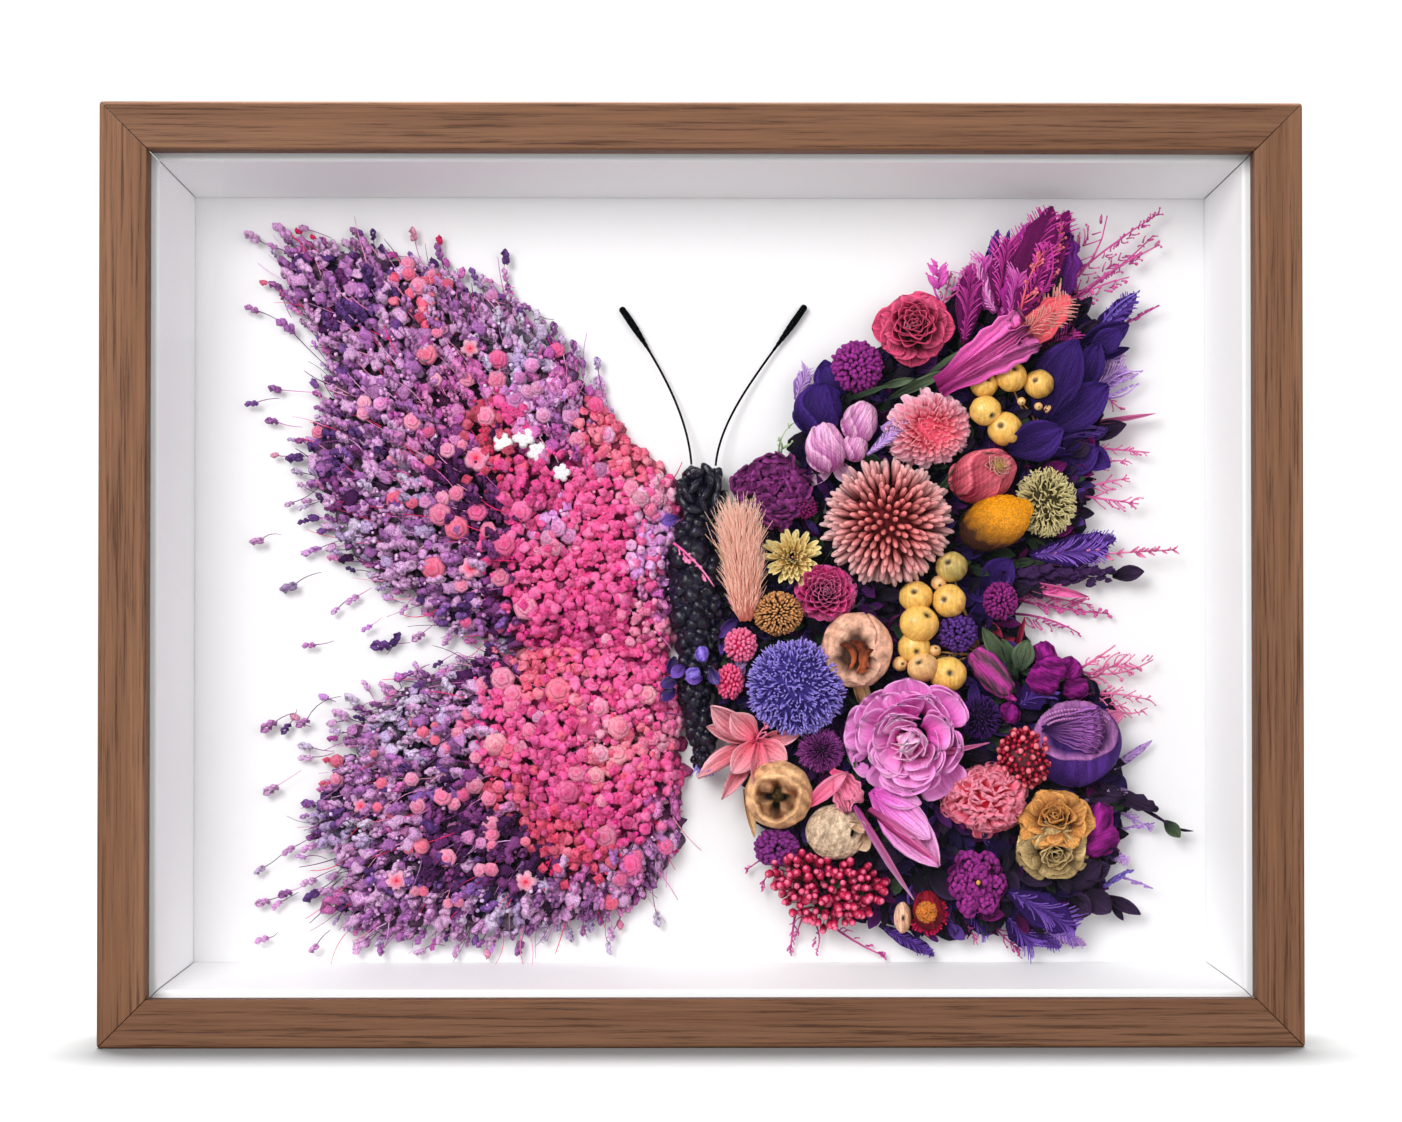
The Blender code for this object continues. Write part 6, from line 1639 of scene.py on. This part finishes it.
bedOutlines = {
    "upper": [
        (6, 178), (18, 186), (31, 198), (42, 217), (54, 231), (68, 242), (86, 254), (101, 270), (112, 268),
        (124, 262), (136, 252), (138, 240), (136, 228), (138, 216), (140, 206), (134, 188), (132, 172),
        (124, 160), (118, 150), (108, 144), (90, 144), (69, 144), (45, 144), (21, 144), (2, 144), (1, 166)],
    "lower": [
        (1, 148), (45, 149), (69, 149), (106, 149), (110, 138), (122, 130), (134, 124), (142, 113),
        (144, 94), (148, 78), (144, 63), (142, 53), (136, 43), (124, 35), (106, 33), (80, 31), (64, 36),
        (47, 38), (36, 42), (28, 57), (22, 72), (19, 84), (12, 94), (4, 112)]}


def buildBed(part, outline):     # dark leaves that fill the wing under and between the flowers, over near-black lumps that are painted shade
    heap = []
    middle = (84, 206 if part == "upper" else 92)
    inner = [(middle[0] + (x - middle[0]) * 0.98, middle[1] + (z - middle[1]) * 0.95) for x, z in outline]
    x, z = strew(inner, 6.0)
    # near-black lumps under all the leaves: painted shade under and between the flowers
    underShade = paint(18, 10, 26)
    spots = np.stack([x, z, np.full(len(x), 1.8)], axis=1)
    addCopies(heap, shapes["lump"], np.diag((4.6, 4.6, 1.6))[None] * np.ones((len(x), 1, 1)), spots, underShade
              * 0.6, underShade)
    root = (40, 158) if part == "upper" else (40, 140)
    hueNames = np.array(["blackLeaf", "deepViolet", "deepViolet", "violetLeaf", "purpleLeaf", "blackLeaf",
                         "blackLeaf", "darkGreen", "magentaLeaf"])
    for layer, (gap, low, high) in enumerate(((5.0, 2.6, 4.8), (4.2, 5.0, 8.4))):
        x, z = strew(inner, gap)
        count = len(x)
        out = np.stack([x - root[0], z - root[1], np.zeros(count)], axis=1)
        way = unit(unit(out) + dice.normal(0, 0.6, (count, 3)) * (1, 1, 0.5))
        up = unit(upward + dice.normal(0, 0.4, (count, 3)))
        long = dice.uniform(5, 11, count)
        turns = pointing(way, up) * np.column_stack([long * dice.uniform(0.3, 0.6, count), long, long])[:,
                                                                                                        None,
                                                                                                        :]
        spots = np.column_stack([x, z, dice.uniform(low, high, count)]) - way * long[:, None] * 0.5
        names = hueNames[dice.integers(0, len(hueNames), count)]
        deep = np.array([paint(*sprayHues[name][0]) for name in names]) * dice.uniform(0.3, 0.8, (count, 1))
        rim = np.array([paint(*sprayHues[name][1]) for name in names]) * dice.uniform(0.15, 0.7, (count, 1))
        addCopies(heap, forms["leafy"] if layer else forms["blade"], turns, spots, deep, rim)
    buildPiece(part + "RightBed", heap, smoothPetal, [part + "_right_bed"])
    heap = []
    for spray in sprays[part]:
        addSpray(heap, *spray)
    buildPiece(part + "RightSprays", heap, papery, [part + "_right_bed"])


def buildSprigs():     # berries on short stalks
    ripe, olive, tan = ((124, 78, 18), (236, 190, 98)), ((84, 68, 22), (186, 160, 92)), ((116, 76, 40),
                                                                                         (206, 164, 110))
    sprigs = {
        "upper_berry_sprig": {"root": (118, 206, 7), "berries": [
            (97.7, 224.1, 4.9, 12, ripe), (107, 226.5, 5.4, 13.5, ripe), (116.7, 224.1, 5.2, 12, ripe),
            (98, 214.7, 5.5, 14, ripe), (104.9, 208.5, 6, 12.5, ripe), (110.8, 218.2, 1.5, 11, tan),
            (116.7, 216.4, 1.5, 11, tan), (120.1, 215.4, 1.6, 11, tan), (125.3, 214, 1.5, 11, tan)]},
        "lower_berry_sprig": {"root": (97, 131, 7), "berries": [
            (74.1, 150.6, 5.8, 12.5, ripe), (85.5, 149.2, 5.8, 13, ripe), (75.1, 141.3, 6.8, 14, ripe),
            (86.5, 160.9, 5.5, 12, olive), (76.5, 126.1, 5.5, 13.5, tan), (85.1, 123.9, 6.5, 12, ripe),
            (73.6, 133.2, 5.6, 10.5, ripe), (68.9, 127.5, 2.8, 10, tan), (82.1, 155.4, 2.7, 11, tan),
            (80.7, 132, 2.2, 11, tan)]}}
    for node, sprig in sprigs.items():
        heap = []
        for x, z, radius, lift, (deep, rim) in sprig["berries"]:
            turn = tilted(*dice.uniform(-34, 34, 2)) * np.array((radius, radius * dice.uniform(0.92, 1),
                                                                 radius * 0.95))
            addCopies(heap, shapes["berry"], turn[None], [(x, z, lift)], paint(*deep), paint(*rim),
                      paint(22, 12, 6))
            addStalks(heap, shapes["stalk"], [sprig["root"]], [(x, z, lift - radius * 0.9)], 0.5,
                      dice.normal(0, 0.06), paint(120, 84, 50), paint(150, 110, 66))
        buildPiece(node.split("_")[0] + "BerrySprig", heap, berrySkin, [node])
    heap = []
    oval = [(23.8, 59.3), (33.5, 61.4), (44.5, 57.9), (52.1, 58.6), (61, 53.1), (63.1, 51.1), (58.9, 44.5),
            (54.8, 41.1),
            (49.6, 37.3), (40.3, 37.3), (34.1, 41.1), (29, 44.5), (26.6, 51.4)]
    for gap, low, high in ((2.9, 7.4, 10), (3.0, 10.8, 14.6)):     # small crimson buds with pale tips
        x, z = strew(oval, gap, 0.22)
        count = len(x)
        long = dice.uniform(2.8, 3.8, count)
        spots = np.column_stack([x, z, dice.uniform(low, high, count) - 2])
        way = unit(np.column_stack([(x - 43) * 0.04, (z - 50) * 0.05, np.ones(count)])
                   + dice.normal(0, 0.3, (count, 3)))
        turns = pointing(way, np.broadcast_to((0.1, 1.0, 0.0), (count, 3))) * (long * 1.25)[:, None, None]
        addCopies(heap, forms["club"], turns * 1.1, spots, paint(60, 0, 20), paint(160, 16, 60))
        tips = spots + way * long[:, None] * 1.15
        addCopies(heap, shapes["bead"], np.eye(3)[None] * dice.uniform(0.8, 1.1, count)[:, None, None], tips,
                  paint(112, 4, 40), paint(232, 104, 142))
        roots = np.column_stack([x * 0.5 + 22, z * 0.6 + 18, np.full(count, 6.6)])
        addStalks(heap, shapes["stalk"], roots, spots, 0.25, 0.03, paint(110, 30, 50), paint(150, 50, 70))
    buildPiece("pepperBerries", heap, berrySkin, ["pepper_berries"])


def buildLying():     # the pieces that lie along the wing
    for node, table, slot in (("plume_flower", plume, "magenta_petals"), ("lily", lily, "pink_petals")):
        heap = []
        for spray in table:
            addSpray(heap, *spray)
        buildPiece(pieceName(node), heap, papery, [node])
    up = upward[None]
    heap = []
    way = unit(np.array((1.0, 0.66, 0.0)))
    middle = np.array((98.2, 233.4, 13))
    addCopies(heap, shapes["ribbed"], pointing(way[None], up) * np.array((4.8, 17, 4.6)), [middle],
              paint(98, 18, 74), paint(214, 96, 168))
    for shift in (-1.6, 0, 1.6):     # a leaf wrapped over it
        start = middle - way * 20 + (shift * 0.4, -shift, 2.6)
        turn = pointing((way + (0, 0, 0.06))[None], up
                        + (0.3 * shift, -0.4 * shift, 0)) * np.array((7, 38, 30))
        addCopies(heap, forms["crest"], turn, [start], paint(124, 26, 92), paint(222, 108, 178))
    buildPiece("ribbedLeafPod", heap, papery, ["ribbed_leaf_pod"])

    heap = []
    middle, way, side = np.array((14.6, 157, 12.5)), unit(np.array((-0.05, 1.0, 0.0))), np.array((1.0, 0.05,
                                                                                                  0.0))
    count = 3000     # hairs
    f = dice.random(count) * 2 - 1
    girth = np.interp(f, (-1, -0.6, 0, 0.6, 1), (0.3, 0.66, 0.76, 0.62, 0.3))
    swing = dice.random(count) * wholeTurn
    ring = np.cos(swing)[:, None] * side + np.sin(swing)[:, None] * upward
    roots = middle + way * (f * 15)[:, None] + ring * girth[:, None] * (5.6, 5.6, 5)
    reach = dice.uniform(0.6, 1.2, (count, 1)) * (9 + 4 * f)[:, None]
    stray = dice.uniform(0.05, 0.42, (count, 1)) * np.where(dice.random((count, 1)) < 0.2, 1.8, 1)
    tips = roots + (way + ring * stray) * reach
    tips[:, 2] = tips[:, 2].clip(7, 22)
    addCopies(heap, shapes["core"], pointing(way[None], up) * np.array((3.8, 13.5, 3.2)), [middle],
              paint(236, 124, 104), paint(250, 160, 138))
    addStalks(heap, forms["hair"], roots, tips, 0.2, dice.normal(0, 0.06, count), paint(244, 130, 108),
              paint(255, 214, 194), 0.3)
    buildPiece("bunnyTail", heap, hairSkin, ["bunny_tail"])

    heap = []
    for leaf in (("leaf", 59, 84, 81.5, 57, 15, 12, "orchidPale"),
                 ("leaf", 61, 82, 78, 66, 12, 14, "orchidPale"),
                 ("leaf", 60, 83, 76, 79, 8, 13, "orchidPale"),
                 ("blade", 53, 79, 74, 47, 2.4, 15, "orchidPale"),
                 ("blade", 57, 77, 80, 57, 2, 16, "pinkWisp"),
                 ("blade", 54, 78, 71, 50, 1.6, 15, "pinkWisp")):
        addSpray(heap, *leaf)
    buildPiece("orchidLeaf", heap, papery, ["orchid_leaf"])


def buildBody():     # near-black clusters for head and body, and the finish of the antennae
    clusters = {
        "head": ((0.3, 186.8, 9.2, 10.4), [(0, 0, 6.8, 26), (-3.4, 5.2, 4.2, 12), (3.6, 5, 4.2, 12),
                                           (-1.4, -5, 5, 14)]),
        "body": ((-1.6, 135.5, 10.4, 45), [
            (-2, 173, 7, 18), (-2.4, 164, 8.8, 26), (-2, 154, 9, 28), (-2, 144, 8.6, 26), (-1, 135, 7, 20),
            (-3, 126, 6, 12),
            (-1, 116, 6.4, 18), (1, 107, 6.4, 16), (2, 100, 5.8, 14), (1.5, 93.5, 4, 10), (4.6, 160, 6, 14),
            (5, 147, 6, 14),
            (4, 126, 5.4, 12), (-6, 122, 4.4, 8), (5, 136, 5, 10)])}
    for node, (place, bunches) in clusters.items():
        heap, spot = [], nodeSpot(node)
        spot.update(zip(("x", "z", "halfWidth", "halfLength"), place))
        tall = spot["top"] - spot["base"]
        for x, z, radius, count in bunches:
            ball = {"halfWidth": radius, "halfLength": radius, "base": 0.0, "top": tall * 0.8}
            part = []
            addCore(part, ball, 0.78, paint(4, 3, 8))
            addFlorets(part, ball, shapes["lumpy"], int(count * 0.8), 0.42, paint(4, 3, 7), paint(22, 17, 36),
                       None, 104, 0.7, 0.5)
            addFlorets(part, ball, shapes["crumpleC"], count // 3, 0.24, paint(4, 3, 8), paint(32, 24, 50),
                       None, 112, 0.82, 0.5)
            addMoved(heap, part, (x, z, 0))
        if node == "head":     # glossy folds knotted round the head
            folds = 19
            _, angle, normals, places = domeSpots(spot, folds, 88, 0.84)
            way = np.stack([-np.sin(angle), np.cos(angle), 0 * angle], axis=1) + dice.normal(0, 0.55,
                                                                                             normals.shape)
            addCopies(heap, shapes["core"], pointing(unit(way), normals) * np.array((1.7, 4.1, 2.2)), places,
                      paint(5, 4, 10), paint(17, 14, 28))
        fitInto(heap, spot)
        if node == "body":     # violet petals, a tuft at the tail and one thin pink stem
            for x, z, turnTo, hue in ((0.8, 134, 262, "violetSpike"), (-6, 123.5, 8, "violetSpike"),
                                      (0.6, 122.5, 184, "veinedViolet"), (-6, 127, 230, "violetLeaf"),
                                      (-8, 122, 200, "deepViolet"), (-9, 130, 250, "deepViolet"),
                                      (3, 126, 300, "deepViolet"), (-8, 178, 200, "violetLeaf"),
                                      (-9, 119, 230, "deepViolet")):
                a = math.radians(turnTo)
                addSpray(heap, "bud" if "S" in hue else "leaf", x, z, x + 6.5 * math.cos(a), z + 6.5
                         * math.sin(a), 4.6, spot["top"] - 0.6, hue)
            for n in range(12):
                a = math.radians(236 + 7 * n)
                addSpray(heap, "blade", 1.5, 95, 1.5 + 7 * math.cos(a), 95 + 7 * math.sin(a), 1.2, 8,
                         "violetSpike")
            addSpray(heap, "beads", -9.5, 169, 4.5, 154, 1, spot["top"] + 1, "orchidStem")
        buildPiece(node, heap, blackPetal, [node])
    wireTints = [(0.3, paint(2, 2, 3)), (0.7, paint(8, 7, 10))]
    wire = grainyMaterial("blackWire", (0.7, 0.02), (2200, 4), wireTints, 0.0001)
    routes = {"Left": ((-3.2, -5, -9, -14, -20, -24.5, -27), (196.6, 207, 219, 230.5, 239.4, 246.6, 250.8)),
              "Right": ((5, 8, 13.5, 20, 28.2, 32.8, 35.6), (196.2, 207, 219, 230.5, 239.6, 246.8, 251.6))}
    for side, (x, z) in routes.items():     # each a bent wire whose end swells to a club
        f = np.linspace(0, 1, 31)
        track = np.column_stack([np.polyval(np.polyfit(z, x, 3), z[0] + (z[-1] - z[0]) * f), z[0]
                                 + (z[-1] - z[0]) * f, 2.1 + 5.4 * (1 - f) ** 2.4])
        girth = np.interp(f, (0, 0.74, 0.82, 0.9, 1), (0.4, 0.42, 0.95, 1.3, 1.2))
        part = []
        addStalks(part, stalkShape(10, 1), track[:-1], track[1:] + (track[1:] - track[:-1]) * 0.12,
                  (girth[1:] + girth[:-1]) / 2, 0.0, paint(6, 6, 8), paint(6, 6, 8), 1.0)
        addBall(part, shapes["core"], track[-1], (1.2, 1.2, 1.2), paint(6, 6, 8), paint(6, 6, 8))
        buildPiece("antenna" + side, part, wire, ["antenna_" + side.lower()])
    print("body done")


def buildSmallParts(steel):     # glue in the mitres, and the points that hold the backing board
    outer, inner, high = 199.6, 184.4, 314.0     # mm: where the mitres start and end, and the frame's height
    pointEdge, pointSide = 18.6, 181.4     # mm: middles of the points from the bottom and from the middle
    glueLift, pointLift = 45.9, -5.9     # mm off the panel's face
    heap = []
    for across in (-1, 1):
        for z0, z1 in ((0.4, 15.6), (high - 0.4, high - 15.6)):
            slab = (across * (outer + inner) / 2, (z0 + z1) / 2)
            turn = pointing(np.array([(across * (inner - outer), z1 - z0, 0.0)]), upward[None])
            addCopies(heap, shapes["block"], turn * np.array((0.24, 21.2, 7.4)), [(*slab, glueLift)],
                      paint(44, 28, 20), paint(44, 28, 20))
    buildPiece("mitreGlue", heap, podSkin)
    points = [(x, side) for side in (0, 1) for x in (-140, -46, 46,
                                                     140)] + [(z, side) for side in (2, 3) for z in (80, 234)]
    heap = []
    for along1, side in points:
        spot = {0: (along1, pointEdge), 1: (along1, high - pointEdge), 2: (-pointSide, along1),
                3: (pointSide, along1)}[side]
        way = {0: (0, 1, 0), 1: (0, -1, 0), 2: (1, 0, 0), 3: (-1, 0, 0)}[side]
        turn = pointing(np.array([way], float), upward[None])
        addCopies(heap, shapes["point"], turn * np.array((5.0, 15.0, 0.4)), [(*spot, pointLift)],
                  paint(180, 182, 186), paint(180, 182, 186))
    buildPiece("flexPoints", heap, steel)


buildStudio()
finishes = dressFrame()
buildLeftWing("upperLeftWing", upperLeft, "upper_left_wing")
buildLeftWing("lowerLeftWing", lowerLeft, "lower_left_wing")
print("left wings laid")
buildBed("upper", bedOutlines["upper"])
buildBed("lower", bedOutlines["lower"])
buildHeads()
buildLying()
buildSprigs()
print("right wings laid")
buildBody()
buildSmallParts(finishes["sawtooth_hanger"])
